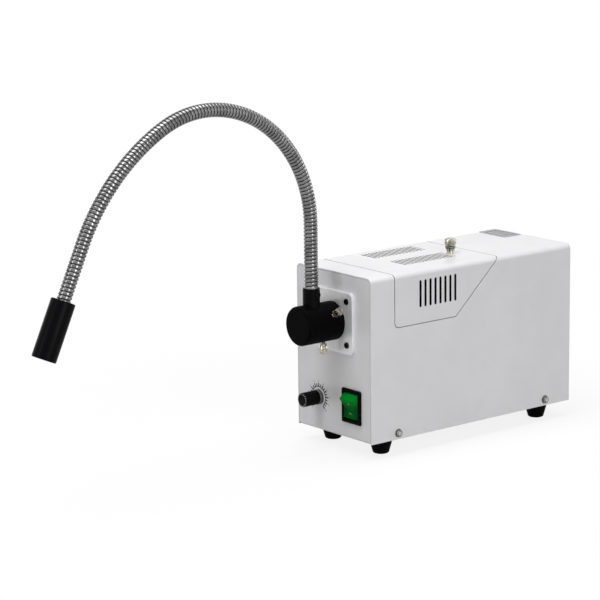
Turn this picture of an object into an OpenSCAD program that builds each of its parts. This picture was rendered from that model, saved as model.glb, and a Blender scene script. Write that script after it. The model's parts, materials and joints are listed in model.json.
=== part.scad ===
// Fiber optic illuminator: a halogen light source in a sheet-metal box, with one
// gooseneck light guide. X runs to the right seen from the front, Y to the back, Z up.
// The origin is the centre of the chassis floor's underside. Millimetres.

/* [Housing] */
// Length of the box, front face to rear face
body_l = 248; // [230:1:320]
// Width of the box
body_w = 104; // [96:1:140]
// Height of the box without its feet
body_h = 152; // [148:1:190]
// Thickness of the cover's sheet
sheet = 1.2; // [0.8:0.1:1.6]
// Thickness of the chassis sheet
chassis_t = 1.5; // [1:0.1:2]
// Radius of the cover's long upper edges
edge_r = 5; // [5:0.5:8]
// Height of the chassis side flanges
flange_h = 14; // [12:1:20]
// Height of the side screws above the box's lower edge
side_screw_z = 5.8; // [5:0.1:8]
// Distance of the side screws from the box's ends
side_screw_inset = 32; // [20:1:50]

/* [Lamp hood] */
// Distance of the hood's front edge from the box's front
hood_front = 28; // [20:1:40]
// Height of the hood's lower edge
hood_bottom = 103; // [95:1:115]
// Length of the hood's lower edge
hood_foot_l = 74; // [60:1:90]
// Length of the hood along the roof
hood_roof_l = 128; // [110:1:150]
// Radius of the hood's lower front corner
hood_corner_r = 5; // [2:0.5:10]
// Width of the seam round the hood
seam = 0.6; // [0.3:0.1:1.2]
// Width of the cover's lip below the hood
lip_w = 4; // [2:0.5:8]
// Number of slots in each cheek
cheek_slots = 8; // [4:1:9]
// Width of a cheek slot
cheek_slot_w = 2.6; // [1.5:0.1:4]
// Length of a cheek slot
cheek_slot_l = 25; // [15:1:32]
// Distance between cheek slots
cheek_pitch = 6.04; // [4.5:0.02:6.5]
// Number of slots in each roof field
roof_slots = 15; // [8:1:18]
// Width of a roof slot
roof_slot_w = 1.8; // [1:0.1:2.4]
// Length of a roof slot, across the box
roof_slot_l = 22; // [12:1:26]
// Distance between roof slots
roof_pitch = 4.3; // [3:0.1:4.5]
// Place of the left field's centre across the box
roof_field_left = -29; // [-32:1:-20]
// Place of the right field's centre across the box
roof_field_right = 13; // [8:1:30]

/* [Light socket and head] */
// Place of the lamp axis across the box
lamp_x = 2; // [-4:1:6]
// Height of the lamp axis
lamp_z = 107.3; // [100:0.1:112]
// Side of the square adapter plate
plate_side = 57; // [50:1:64]
// Thickness of the adapter plate
plate_t = 3; // [2:0.5:5]
// Distance of the adapter screws from the lamp axis, each way
plate_screw = 20; // [18:0.5:22]
// Radius of the socket ring
socket_r = 17.8; // [16.8:0.1:19]
// Length of the socket ring in front of the adapter plate
socket_l = 15; // [13:0.5:20]
// Radius of the guide's plug
plug_r = 11.95; // [10:0.05:12.5]
// Radius of the guide's head
head_r = 18; // [17:0.5:20]
// Length of the guide's head
head_l = 25.3; // [22:0.1:34]
// Radius of the collar that holds the gooseneck
collar_r = 7.8; // [7.6:0.1:9]
// Height of the collar's top above the lamp axis
collar_h = 33.4; // [28:0.1:40]

/* [Gooseneck] */
// Outside radius of the hose
hose_r = 6.35; // [5.5:0.05:6.4]
// Radius of the hose's bore
hose_bore_r = 4.6; // [4.4:0.1:4.8]
// Distance between the hose's ribs
rib_pitch = 3.4; // [3:0.1:5]
// Depth of a rib
rib_depth = 0.75; // [0.3:0.05:0.9]
// Straight run above the collar
rise_l = 57; // [40:1:80]
// Radius of the first bend
bend_1_r = 113; // [80:1:140]
// Turn of the first bend, in degrees
bend_1_a = 90; // [70:1:95]
// Radius of the crown
bend_2_r = 101; // [80:1:140]
// Turn of the crown, in degrees
bend_2_a = 28; // [10:1:35]
// Radius of the falling bend
bend_3_r = 192; // [140:1:240]
// Turn of the falling bend, in degrees
bend_3_a = 37.4; // [20:0.2:45]
// Straight run before the nozzle
fall_l = 47; // [30:1:60]
// Radius of the nozzle
nozzle_r = 10.75; // [9:0.05:14]
// Length of the nozzle
nozzle_l = 51.5; // [40:0.5:70]

/* [Controls] */
// Place of the knob across the box
knob_x = -22; // [-26:1:-18]
// Height of the knob and the switch
control_z = 31; // [30:0.5:36]
// Radius of the knob at its foot
knob_r = 7; // [6.6:0.1:9]
// Length of the knob
knob_l = 19; // [14:0.5:22]
// Number of flutes round the knob
knob_flutes = 18; // [12:1:24]
// Place of the switch across the box
switch_x = 25.6; // [22:0.2:27]
// Width of the switch bezel
bezel_w = 25.5; // [25:0.1:27]
// Height of the switch bezel
bezel_h = 31.4; // [31:0.1:33]
// Tilt of the rocker either way, in degrees
rocker_tilt = 16; // [10:0.5:18]

/* [Feet] */
// Height of a rubber foot
foot_h = 15; // [8:0.5:20]
// Radius of a foot at its top
foot_top_r = 11.2; // [10:0.1:13]
// Radius of a foot at its bottom
foot_bottom_r = 7.8; // [7.5:0.1:10]
// Distance between the feet across the box
foot_span_x = 68; // [60:1:76]
// Distance between the feet along the box
foot_span_y = 195; // [180:1:210]

/* [Inside] */
// Side of the square fan
fan_side = 80; // [76:1:80]
// Depth of the fan
fan_d = 25; // [20:1:25]
// Height of the fan's centre
fan_z = 98; // [94:1:100]
// Number of fan blades
fan_blades = 7; // [5:1:9]
// Width of the transformer core
core_w = 76; // [66:1:78]
// Height of the transformer core
core_h = 63.5; // [56:0.5:66]
// Thickness of the transformer stack
core_d = 40; // [30:1:44]
// Height of the mains inlet's centre
inlet_z = 30; // [28:0.5:33]

/* [Hidden] */
$fn = 64;

// clearances
slack = 0.2;      // between a fitted piece and its opening, on one body
run = 0.05;       // radial, of a shaft that turns or slides
bolt_gap = 0.15;  // radial, of a screw in a plain hole
apart = 0.3;      // between curved faces of pieces that move apart
cut = 1;          // how far a cutting shape runs past a face

// places that several pieces share
front = -body_l / 2;
rear = body_l / 2;
wall_in = front + chassis_t;
rear_in = rear - chassis_t;
inner_inset = sheet + slack;
plate_face = front - plate_t;
head_back = plate_face - socket_l;
head_front = head_back - head_l;
collar_y = head_back - collar_r - 1.2;
collar_top = lamp_z + collar_h;
m4 = 1.9;
m3 = 1.45;

// ---------- placing ----------

module along_y(y0, y1, r) {
    translate([0, y0, 0])
        rotate([-90, 0, 0])
            cylinder(r = r, h = y1 - y0);
}

module along_x(x0, x1, r) {
    translate([x0, 0, 0])
        rotate([0, 90, 0])
            cylinder(r = r, h = x1 - x0);
}

// revolves a profile of [radius, y] points about the Y axis
module turned_y(profile) {
    rotate([-90, 0, 0])
        rotate_extrude()
            polygon(profile);
}

module turned_z(profile) {
    rotate_extrude()
        polygon(profile);
}

// lays an outline in the XZ plane and thickens it from y0 to y1
module slab_y(y0, y1) {
    translate([0, y1, 0])
        rotate([90, 0, 0])
            linear_extrude(y1 - y0)
                children();
}

// lays an outline in the YZ plane and thickens it from x0 to x1
module slab_x(x0, x1) {
    translate([x0, 0, 0])
        rotate([90, 0, 90])
            linear_extrude(x1 - x0)
                children();
}

module at_lamp_axis() {
    translate([lamp_x, 0, lamp_z])
        children();
}

module mirrored_x() {
    for (side = [-1, 1])
        scale([side, 1, 1])
            children();
}

module four(dx, dy) {
    for (sx = [-1, 1], sy = [-1, 1])
        translate([sx * dx, sy * dy])
            children();
}

// ---------- outlines ----------

module rounded(w, h, r) {
    square([w - 2 * r, h], center = true);
    square([w, h - 2 * r], center = true);
    four(w / 2 - r, h / 2 - r)
        circle(r);
}

// a slot with round ends, along the outline's second axis
module slot(w, l) {
    square([w, l - w], center = true);
    for (side = [-1, 1])
        translate([0, side * (l - w) / 2])
            circle(w / 2);
}

// the box's section across its width, drawn inward by an inset
module box_section(inset, lowest = 0) {
    w = body_w / 2 - inset;
    h = body_h - inset;
    r = max(edge_r - inset, 0.2);
    translate([-w, lowest])
        square([2 * w, h - r - lowest]);
    translate([-w + r, lowest])
        square([2 * (w - r), h - lowest]);
    for (side = [-1, 1])
        translate([side * (w - r), h - r])
            circle(r);
}

module box_ring(outer, inner) {
    difference() {
        box_section(outer);
        box_section(inner, -cut);
    }
}

hood_y0 = front + hood_front;
hood_rise = body_h - hood_bottom;
hood_run = hood_roof_l - hood_foot_l;
hood_slope = atan2(hood_rise, hood_run);

// where the hood's slanting rear edge stands at a height, drawn inward by g
function hood_rear_y(z, g) = hood_y0 + hood_foot_l + (z - hood_bottom) / tan(hood_slope) - g / sin(hood_slope);

// the hood's outline from the side, drawn inward by g and standing past the roof
module hood_side(g) {
    top = body_h + 2 * edge_r;
    low = hood_bottom + g;
    y0 = hood_y0 + g;
    r = hood_corner_r - g;
    polygon([[y0, top], [y0, low + r], [y0 + r, low], [hood_rear_y(low, g), low], [hood_rear_y(top, g), top]]);
    translate([y0 + r, low + r])
        circle(r);
}

// a knurled or fluted round section: n teeth between two radii
module toothed(r, depth, n) {
    polygon([for (i = [0 : 2 * n - 1]) let (a = 180 * i / n, q = i % 2 == 0 ? r : r - depth) q * [cos(a), sin(a)]]);
}

// ---------- chassis and cover ----------

fan_hole = fan_side / 2 - 4.25;
core_y = 44;
strap_foot_x = core_w / 2 + 6;
bracket_y = -86.5;
bracket_hole_y = bracket_y + 9;
bracket_hole_x = 20;
board_y = -37;
board_w = 72;
board_l = 60;
board_hole = [board_w / 2 - 5, board_l / 2 - 5];
standoff_h = 8;
inlet_hole_x = 20;
bezel_t = 2;
cutout_w = 22;
cutout_h = 28;

module grille_cuts() {
    difference() {
        for (r = [9 : 6.6 : 36])
            difference() {
                circle(r + 3.8);
                circle(r);
            }
        for (a = [45, 135])
            rotate(a)
                square([2 * fan_side, 4], center = true);
    }
}

module front_wall_cuts() {
    translate([lamp_x, lamp_z]) {
        circle(spigot_r + slack);
        four(plate_screw, plate_screw)
            circle(m3 + bolt_gap);
    }
    translate([knob_x, control_z])
        circle(bushing_r + slack / 2);
    translate([switch_x, control_z])
        square([cutout_w, cutout_h], center = true);
}

module rear_wall_cuts() {
    translate([0, fan_z]) {
        grille_cuts();
        four(fan_hole, fan_hole)
            circle(m4 + bolt_gap);
    }
    translate([0, inlet_z]) {
        square([inlet_body_w + 2 * slack, inlet_body_h + 2 * slack], center = true);
        for (side = [-1, 1])
            translate([side * inlet_hole_x, 0])
                circle(m3 + bolt_gap);
    }
}

module floor_cuts() {
    four(foot_span_x / 2, foot_span_y / 2)
        circle(m4 + bolt_gap);
    for (side = [-1, 1]) {
        translate([side * strap_foot_x, core_y])
            circle(m4 + bolt_gap);
        translate([lamp_x + side * bracket_hole_x, bracket_hole_y])
            circle(m4 + bolt_gap);
    }
    translate([0, board_y])
        four(board_hole[0], board_hole[1])
            circle(m3 + bolt_gap);
    for (i = [0 : 6])
        translate([0, board_y + (i - 3) * 7])
            rotate(90)
                slot(3, 44);
}

module tub_section(inset) {
    l = body_l / 2 - inset;
    r = 2.5 - inset;
    translate([-l, inset + r])
        square([2 * l, body_h]);
    translate([-l + r, inset])
        square([2 * (l - r), body_h]);
    for (side = [-1, 1])
        translate([side * (l - r), inset + r])
            circle(r);
}

module chassis() {
    flange_end_gap = 6;
    flange_x = body_w / 2 - inner_inset;
    flange_l = body_l - 2 * (chassis_t + flange_end_gap);
    color("gainsboro")
        difference() {
            union() {
                intersection() {
                    slab_x(-body_w, body_w)
                        difference() {
                            tub_section(0);
                            tub_section(chassis_t);
                        }
                    slab_y(front - cut, rear + cut)
                        box_section(inner_inset, -cut);
                }
                mirrored_x()
                    translate([flange_x - chassis_t, -flange_l / 2, chassis_t / 2])
                        cube([chassis_t, flange_l, flange_h]);
            }
            slab_y(front - cut, wall_in + cut)
                front_wall_cuts();
            slab_y(rear_in - cut, rear + cut)
                rear_wall_cuts();
            translate([0, 0, -cut])
                linear_extrude(chassis_t + 2 * cut)
                    floor_cuts();
            for (sy = [-1, 1])
                translate([0, sy * (body_l / 2 - side_screw_inset), side_screw_z])
                    along_x(-body_w, body_w, m4 + bolt_gap);
        }
}

module cover_shell() {
    lip_t = 1.8;
    lip_end_gap = 8;
    color("whitesmoke")
        difference() {
            union() {
                difference() {
                    slab_y(front, rear)
                        box_ring(0, sheet);
                    slab_x(-body_w, body_w)
                        hood_side(0);
                }
                intersection() {
                    slab_y(front + lip_end_gap, rear - lip_end_gap)
                        box_ring(sheet, sheet + lip_t);
                    slab_x(-body_w, body_w)
                        difference() {
                            hood_side(-lip_w);
                            hood_side(0);
                        }
                }
                intersection() {
                    slab_y(front + lip_end_gap, rear - lip_end_gap)
                        box_ring(sheet + apart, sheet + lip_t);
                    slab_x(-body_w, body_w)
                        difference() {
                            hood_side(-lip_w);
                            hood_side(lip_w);
                        }
                }
            }
            for (sy = [-1, 1])
                translate([0, sy * (body_l / 2 - side_screw_inset), side_screw_z])
                    along_x(-body_w, body_w, m4 + bolt_gap);
        }
}

module screw_z(r, head_r, head_h, length, recess = 0) {
    difference() {
        union() {
            translate([0, 0, -length])
                cylinder(r = r, h = length + head_h / 2);
            turned_z([[0, 0], [head_r, 0], [head_r, head_h * 0.55], [head_r * 0.72, head_h], [0, head_h]]);
        }
        if (recess > 0)
            translate([0, 0, head_h - recess])
                for (a = [0, 90])
                    rotate(a)
                        translate([-head_r * 0.5, -0.4, 0])
                            cube([head_r, 0.8, head_h]);
    }
}

module cover_screws() {
    washer_r = 4;
    washer_t = 0.6;
    color("silver")
        mirrored_x()
            for (sy = [-1, 1])
                translate([body_w / 2, sy * (body_l / 2 - side_screw_inset), side_screw_z])
                    rotate([0, 90, 0]) {
                        difference() {
                            cylinder(r = washer_r, h = washer_t);
                            translate([0, 0, -cut])
                                cylinder(r = m4 + 0.1, h = washer_t + 2 * cut);
                        }
                        translate([0, 0, washer_t])
                            screw_z(m4, 3.5, 2.2, 7, 1.2);
                    }
}

foot_recess_r = 3.9;
foot_recess_d = 6;

module rubber_feet() {
    fillet = 2.2;
    steps = 6;
    color("black")
        four(foot_span_x / 2, foot_span_y / 2)
            difference() {
                turned_z(concat(
                    [[0, 0], [foot_top_r, 0], [foot_bottom_r, -foot_h + fillet]],
                    [for (i = [1 : steps]) let (a = 90 * i / steps)
                        [foot_bottom_r - fillet * (1 - cos(a)), -foot_h + fillet * (1 - sin(a))]],
                    [[0, -foot_h]]));
                translate([0, 0, -foot_h - cut])
                    cylinder(r = foot_recess_r, h = foot_recess_d + cut);
                translate([0, 0, -foot_h])
                    cylinder(r = m4 + bolt_gap, h = foot_h + cut);
            }
}

module foot_screws() {
    seat = -foot_h + foot_recess_d;
    color("silver")
        four(foot_span_x / 2, foot_span_y / 2) {
            translate([0, 0, seat])
                rotate([180, 0, 0])
                    screw_z(m4, 3.5, 2.4, -seat + 5, 1.2);
            translate([0, 0, chassis_t])
                difference() {
                    cylinder(r = 4, h = 3, $fn = 6);
                    translate([0, 0, -cut])
                        cylinder(r = m4 + run, h = 5);
                }
        }
}

// ---------- adapter plate and socket ----------

spigot_r = 14;
cap_r = 2.75;
cap_seat = plate_face + 2;

module adapter_plate() {
    bevel = 0.8;
    color("silver")
        at_lamp_axis()
            difference() {
                union() {
                    slab_y(plate_face + bevel, front)
                        rounded(plate_side, plate_side, 6);
                    slab_y(plate_face, front)
                        rounded(plate_side - 2 * bevel, plate_side - 2 * bevel, 6 - bevel);
                }
                along_y(plate_face - cut, front + cut, spigot_r + run);
                for (sx = [-1, 1], sz = [-1, 1])
                    translate([sx * plate_screw, 0, sz * plate_screw]) {
                        along_y(plate_face - cut, cap_seat, cap_r + slack);
                        along_y(plate_face - cut, front + cut, m3 + bolt_gap);
                    }
            }
}

module adapter_screws() {
    cap_l = 3;
    socket_r_in = 1.45;
    socket_depth = 1.6;
    color("dimgray")
        at_lamp_axis()
            for (sx = [-1, 1], sz = [-1, 1])
                translate([sx * plate_screw, 0, sz * plate_screw])
                    difference() {
                        union() {
                            along_y(cap_seat - cap_l, cap_seat, cap_r);
                            along_y(cap_seat - cut, wall_in + 4, m3);
                        }
                        translate([0, cap_seat - cap_l - cut, 0])
                            rotate([-90, 0, 0])
                                cylinder(r = socket_r_in, h = cut + socket_depth, $fn = 6);
                    }
}

socket_bore_r = plug_r + run;
thumb_y = plate_face - socket_l + 4.3;
thumb_angles = [30, 150, -90];
spigot_end = wall_in + 10;

module guide_socket() {
    color("black")
        at_lamp_axis()
            difference() {
                turned_y([
                    [0, head_back], [socket_r - 0.8, head_back], [socket_r, head_back + 0.8],
                    [socket_r, plate_face], [spigot_r, plate_face], [spigot_r, spigot_end], [0, spigot_end]]);
                along_y(head_back - cut, spigot_end + cut, socket_bore_r);
                for (a = thumb_angles)
                    rotate([0, -a, 0])
                        translate([0, thumb_y, 0])
                            along_x(plug_r - 2, socket_r + cut, m4 + 0.1);
            }
}

module socket_nut() {
    nut_r = 19;
    nut_t = 5;
    color("silver")
        at_lamp_axis()
            difference() {
                along_y(wall_in, wall_in + nut_t, nut_r);
                along_y(wall_in - cut, wall_in + nut_t + cut, spigot_r + run);
                for (a = [0, 90])
                    rotate([0, a, 0])
                        translate([-nut_r - cut, wall_in + nut_t - 2, -2])
                            cube([2 * (nut_r + cut), 2 + cut, 4]);
            }
}

// a thumbscrew that runs in along -X towards the lamp axis
module socket_screw(angle) {
    head_0 = socket_r + 3.9;
    head_1 = head_0 + 7.2;
    at_lamp_axis()
        rotate([0, -angle, 0])
            translate([0, thumb_y, 0]) {
                along_x(plug_r + 0.1, head_0 + 1, m4);
                along_x(head_0 - 1.6, head_0 - 0.8, 3.4);
                translate([head_0, 0, 0])
                    rotate([0, 90, 0])
                        linear_extrude(head_1 - head_0)
                            toothed(3.6, 0.35, 24);
                along_x(head_1, head_1 + 0.5, 2.9);
            }
}

module socket_screw_right() {
    color("tan")
        socket_screw(thumb_angles[0]);
}

module socket_screw_left() {
    color("tan")
        socket_screw(thumb_angles[1]);
}

module socket_screw_under() {
    color("tan")
        socket_screw(thumb_angles[2]);
}

// ---------- switch and brightness control ----------

cavity_w = 19.4;
cavity_h = 25.4;
cavity_d = 11;
pivot_y = front + 3;
pivot_r = 1.5;
rocker_gap = 0.35;
rocker_side_gap = 0.25;
trunnion_l = 0.6;
switch_back = front + 25;

module switch_body() {
    bezel_face = front - bezel_t;
    color("black")
        translate([switch_x, 0, control_z])
            difference() {
                union() {
                    slab_y(bezel_face, front)
                        rounded(bezel_w, bezel_h, 1);
                    slab_y(front, switch_back)
                        square([cutout_w - 2 * slack, cutout_h - 2 * slack], center = true);
                }
                slab_y(bezel_face - cut, front + cavity_d)
                    square([cavity_w, cavity_h], center = true);
                translate([0, pivot_y, 0])
                    along_x(-cutout_w / 2 + 0.5, cutout_w / 2 - 0.5, pivot_r + run);
            }
}

module switch_terminals() {
    blade_l = 8;
    color("goldenrod")
        translate([switch_x, 0, control_z])
            for (sx = [-1, 1], sz = [-1, 1])
                translate([sx * 5, 0, sz * 7])
                    difference() {
                        translate([-0.4, switch_back, -3.15])
                            cube([0.8, blade_l, 6.3]);
                        translate([-2, switch_back + blade_l - 3, 0])
                            along_x(0, 4, 0.9);
                    }
}

// rocker: two flat faces that meet over the pivot, between ends that are arcs about it
module power_rocker() {
    end_r = cavity_h / 2 - rocker_gap;
    peak_a = 49;
    inner_a = 104;
    dip = 5.2;
    steps = 6;
    rocker_w = cavity_w - 2 * rocker_side_gap;
    upper_end = [for (i = [0 : steps]) let (a = peak_a + (inner_a - peak_a) * i / steps) end_r * [-cos(a), sin(a)]];
    lower_end = [for (i = [0 : steps]) [upper_end[steps - i][0], -upper_end[steps - i][1]]];
    color("green")
        translate([switch_x, pivot_y, control_z])
            rotate([rocker_tilt, 0, 0]) {
                slab_x(-rocker_w / 2, rocker_w / 2)
                    polygon(concat([[-dip, 0]], upper_end, lower_end));
                along_x(-cavity_w / 2 - trunnion_l, cavity_w / 2 + trunnion_l, pivot_r);
            }
}

bushing_r = 3.5;
shaft_r = 3;
bushing_end = front - 2.9;
pot_back = wall_in + 9;

module pot_body() {
    color("slategray")
        translate([knob_x, 0, control_z])
            difference() {
                union() {
                    along_y(wall_in, pot_back, 8.5);
                    along_y(bushing_end, wall_in + 1, bushing_r);
                }
                along_y(bushing_end - cut, pot_back - 2, shaft_r + run);
            }
}

nut_across = 5.5;

module pot_nut() {
    washer_t = 0.6;
    nut_t = 2;
    color("silver")
        translate([knob_x, 0, control_z])
            difference() {
                union() {
                    along_y(front - washer_t, front, knob_r + 0.4);
                    translate([0, front - washer_t - nut_t, 0])
                        rotate([-90, 0, 0])
                            cylinder(r = nut_across, h = nut_t, $fn = 6);
                }
                along_y(front - 4, front + cut, bushing_r + run);
            }
}

knob_foot = front - 1;
knob_tip = knob_foot - knob_l;
shaft_tip = knob_tip + 4;
cap_face_r = knob_r - 1.85;
cap_d = 0.6;
nut_room = 2.8;

module pot_shaft() {
    color("silver")
        translate([knob_x, 0, control_z])
            along_y(shaft_tip, pot_back - 2.3, shaft_r);
}

module brightness_knob() {
    body_r = knob_r - 0.4;
    skirt_l = 2.3;
    flute_d = 1;
    color("black")
        translate([knob_x, 0, control_z])
            difference() {
                union() {
                    along_y(knob_foot - skirt_l, knob_foot, knob_r);
                    intersection() {
                        turned_y([[0, knob_tip], [body_r - 0.7, knob_tip], [body_r, knob_tip + 0.7],
                            [body_r, knob_foot - 1], [0, knob_foot - 1]]);
                        slab_y(knob_tip - cut, knob_foot)
                            toothed(body_r + 0.25, flute_d, knob_flutes);
                    }
                }
                along_y(knob_foot - nut_room, knob_foot + cut, nut_across + apart);
                along_y(shaft_tip - 0.1, knob_foot + cut, shaft_r + 0.02);
                along_y(knob_tip - cut, knob_tip + cap_d, cap_face_r + run);
            }
}

module knob_cap() {
    color("whitesmoke")
        translate([knob_x, 0, control_z])
            difference() {
                along_y(knob_tip - 0.1, knob_tip + cap_d, cap_face_r);
                translate([-0.45, knob_tip - cut, 1])
                    cube([0.9, 0.4 + cut, knob_r]);
            }
}

// ---------- lamp hood ----------

thumb_x = 9.2;
hood_thumb_y = hood_rear_y(body_h, 0) - 22;
ferrule_h = 6.6;

module hood_slots() {
    cheek_top_gap = 8.8;
    cheek_start = 31;
    roof_start = 39;
    cheek_z = body_h - cheek_top_gap - cheek_slot_l / 2;
    slots_y0 = hood_y0 + cheek_start;
    slab_x(-body_w, body_w)
        for (i = [0 : cheek_slots - 1])
            translate([slots_y0 + i * cheek_pitch, cheek_z])
                slot(cheek_slot_w, cheek_slot_l);
    translate([0, 0, body_h - edge_r])
        linear_extrude(2 * edge_r)
            for (x = [roof_field_left, roof_field_right], i = [0 : roof_slots - 1])
                translate([x, hood_y0 + roof_start + i * roof_pitch])
                    rotate(90)
                        slot(roof_slot_w, roof_slot_l);
}

module lamp_hood() {
    color("whitesmoke")
        difference() {
            intersection() {
                slab_y(front, rear)
                    box_ring(0, sheet);
                slab_x(-body_w, body_w)
                    hood_side(seam);
            }
            hood_slots();
            translate([thumb_x, hood_thumb_y, body_h - 2 * sheet])
                cylinder(r = 3 + run, h = 4 * sheet);
        }
}

module hood_ferrule() {
    color("silver")
        translate([thumb_x, hood_thumb_y, body_h])
            difference() {
                turned_z([[0, -sheet], [3, -sheet], [3, 0], [4.3, 0], [4.3, 0.7], [3.6, 1.4], [4.9, ferrule_h - 1.2],
                    [4.9, ferrule_h], [0, ferrule_h]]);
                translate([0, 0, -sheet - cut])
                    cylinder(r = m4 + 0.15, h = ferrule_h + sheet + 2 * cut);
            }
}

module hood_thumbscrew() {
    neck_h = 1.4;
    head_h = 6.3;
    color("silver")
        translate([thumb_x, hood_thumb_y, body_h + ferrule_h]) {
            translate([0, 0, -ferrule_h - 6])
                cylinder(r = m4 + 0.05, h = ferrule_h + 6 + neck_h);
            translate([0, 0, 0.2])
                cylinder(r = 3, h = neck_h);
            translate([0, 0, neck_h])
                linear_extrude(head_h - 0.8)
                    toothed(5.3, 0.4, 28);
            translate([0, 0, neck_h + head_h - 0.8])
                turned_z([[0, 0], [4.9, 0], [4.1, 0.8], [0, 0.8]]);
        }
}

bridge_inset = 3.2;
bridge_t = 1.6;
bridge_w = 12;

module hood_bridge() {
    color("silver")
        difference() {
            intersection() {
                slab_y(hood_thumb_y - bridge_w / 2, hood_thumb_y + bridge_w / 2)
                    box_ring(bridge_inset, bridge_inset + bridge_t);
                translate([-body_w / 2, front, hood_bottom + 14])
                    cube([body_w, body_l, body_h]);
            }
            translate([thumb_x, hood_thumb_y, body_h - 10])
                cylinder(r = 3 + run, h = 12);
        }
}

module bridge_insert() {
    seat = body_h - bridge_inset;
    color("goldenrod")
        translate([thumb_x, hood_thumb_y, seat])
            difference() {
                union() {
                    cylinder(r = 5, h = 1.2);
                    translate([0, 0, -5])
                        cylinder(r = 3, h = 6);
                }
                translate([0, 0, -6])
                    cylinder(r = m4 + 0.15, h = 8);
            }
}

// ---------- lamp ----------

rim_r = 25.35;
rim_t = 4.4;
rim_front = bracket_y - chassis_t - rim_t;
neck_r = 8;
dish_l = 28;
neck_l = 12;
capsule_r = 4.5;

module lamp_bracket() {
    foot_l = 14;
    half_w = 30;
    cup_r = rim_r + apart;
    color("silver")
        difference() {
            union() {
                translate([lamp_x - half_w, bracket_y - chassis_t, chassis_t])
                    cube([2 * half_w, chassis_t, lamp_z - chassis_t]);
                translate([lamp_x - half_w, bracket_y - chassis_t, chassis_t])
                    cube([2 * half_w, foot_l, chassis_t]);
                at_lamp_axis()
                    intersection() {
                        along_y(rim_front, bracket_y, cup_r + 2);
                        translate([-body_w, front, -body_h])
                            cube([2 * body_w, body_l, body_h]);
                    }
            }
            at_lamp_axis() {
                along_y(rim_front - cut, bracket_y - chassis_t, cup_r);
                along_y(rim_front - cut, bracket_y + cut, 23.2);
            }
            for (side = [-1, 1])
                translate([lamp_x + side * bracket_hole_x, bracket_hole_y, 0])
                    cylinder(r = m4 + bolt_gap, h = 5);
            for (side = [-1, 1])
                translate([lamp_x + side * 12, bracket_y, 52])
                    slab_y(-5, 5)
                        rounded(14, 50, 4);
        }
}

module bracket_screws() {
    color("silver")
        for (side = [-1, 1])
            translate([lamp_x + side * bracket_hole_x, bracket_hole_y, 2 * chassis_t])
                screw_z(m4, 3.5, 2.4, 2 * chassis_t, 1.2);
}

function dish(t, wide, narrow) = narrow + (wide - narrow) * sqrt(1 - t);

module lamp_reflector() {
    steps = 10;
    dish_y = rim_front + rim_t;
    wall = 1.7;
    outer = [for (i = [0 : steps]) [dish(i / steps, 22.8, neck_r), dish_y + dish_l * i / steps]];
    inner = [for (i = [steps : -1 : 0]) [dish(i / steps, 22.8 - wall, capsule_r + 0.1), dish_y + (dish_l - wall) * i / steps]];
    color("lightgray")
        at_lamp_axis()
            difference() {
                turned_y(concat([[rim_r, rim_front], [rim_r, dish_y]], outer, [[neck_r, dish_y + dish_l + neck_l]],
                    [[capsule_r + 0.1, dish_y + dish_l + neck_l]], inner, [[22.8 - wall, rim_front]]));
                translate([0, dish_y + dish_l + 2, 0])
                    for (side = [-1, 1])
                        translate([-neck_r, 0, side * (neck_r + 1.5) - 4])
                            cube([2 * neck_r, neck_l, 8]);
            }
}

capsule_back = rim_front + rim_t + dish_l + neck_l;
pin_x = 3.2;
pin_l = 7;

module lamp_capsule() {
    bulb_l = 26;
    color("white")
        at_lamp_axis() {
            turned_y([[0, capsule_back - bulb_l], [2, capsule_back - bulb_l + 0.6], [3.7, capsule_back - bulb_l + 2],
                [capsule_r, capsule_back - bulb_l + 4.5], [capsule_r, capsule_back], [0, capsule_back]]);
            for (side = [-1, 1])
                translate([side * pin_x, 0, 0])
                    along_y(capsule_back - 1, capsule_back + pin_l, 0.75);
        }
}

module lamp_holder() {
    holder_l = 14;
    y0 = capsule_back + slack;
    color("ivory")
        at_lamp_axis()
            difference() {
                slab_y(y0, y0 + holder_l)
                    rounded(18, 12, 2);
                for (side = [-1, 1]) {
                    translate([side * pin_x, 0, 0])
                        along_y(y0 - cut, capsule_back + pin_l + slack, 0.9);
                    translate([side * 9, 0, 0])
                        slab_y(y0 + 4, y0 + holder_l + cut)
                            square([3, 6], center = true);
                }
            }
}

filter_y = front + 22;
filter_r = 19;
filter_t = 3;

module heat_filter() {
    color("lightcyan")
        at_lamp_axis()
            along_y(filter_y, filter_y + filter_t, filter_r);
}

module filter_holder() {
    ring_r = filter_r + 2.6;
    ring_y0 = filter_y - 2;
    ring_y1 = filter_y + filter_t + 1;
    stay_w = 12;
    color("silver")
        difference() {
            union() {
                at_lamp_axis()
                    along_y(ring_y0, ring_y1, ring_r);
                translate([lamp_x - stay_w / 2, ring_y1 - chassis_t, chassis_t])
                    cube([stay_w, chassis_t, lamp_z - filter_r - chassis_t]);
                translate([lamp_x - stay_w / 2, ring_y1 - chassis_t, chassis_t])
                    cube([stay_w, 8, chassis_t]);
            }
            at_lamp_axis() {
                along_y(ring_y0 - cut, ring_y1 + cut, filter_r - 2);
                along_y(filter_y - 0.1, ring_y1 + cut, filter_r + 0.1);
            }
        }
}

// ---------- dimmer board ----------

board_z = chassis_t + standoff_h;
board_t = 1.6;
board_top = board_z + board_t;

module at_board() {
    translate([0, board_y, 0])
        children();
}

module board_standoffs() {
    color("goldenrod")
        at_board()
            four(board_hole[0], board_hole[1])
                translate([0, 0, chassis_t])
                    difference() {
                        cylinder(r = 3.2, h = standoff_h, $fn = 6);
                        translate([0, 0, -cut])
                            cylinder(r = m3 + run, h = standoff_h + 2 * cut);
                    }
}

module dimmer_board() {
    color("darkgreen")
        at_board()
            translate([0, 0, board_z])
                linear_extrude(board_t)
                    difference() {
                        square([board_w, board_l], center = true);
                        four(board_hole[0], board_hole[1])
                            circle(m3 + bolt_gap);
                    }
}

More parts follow.
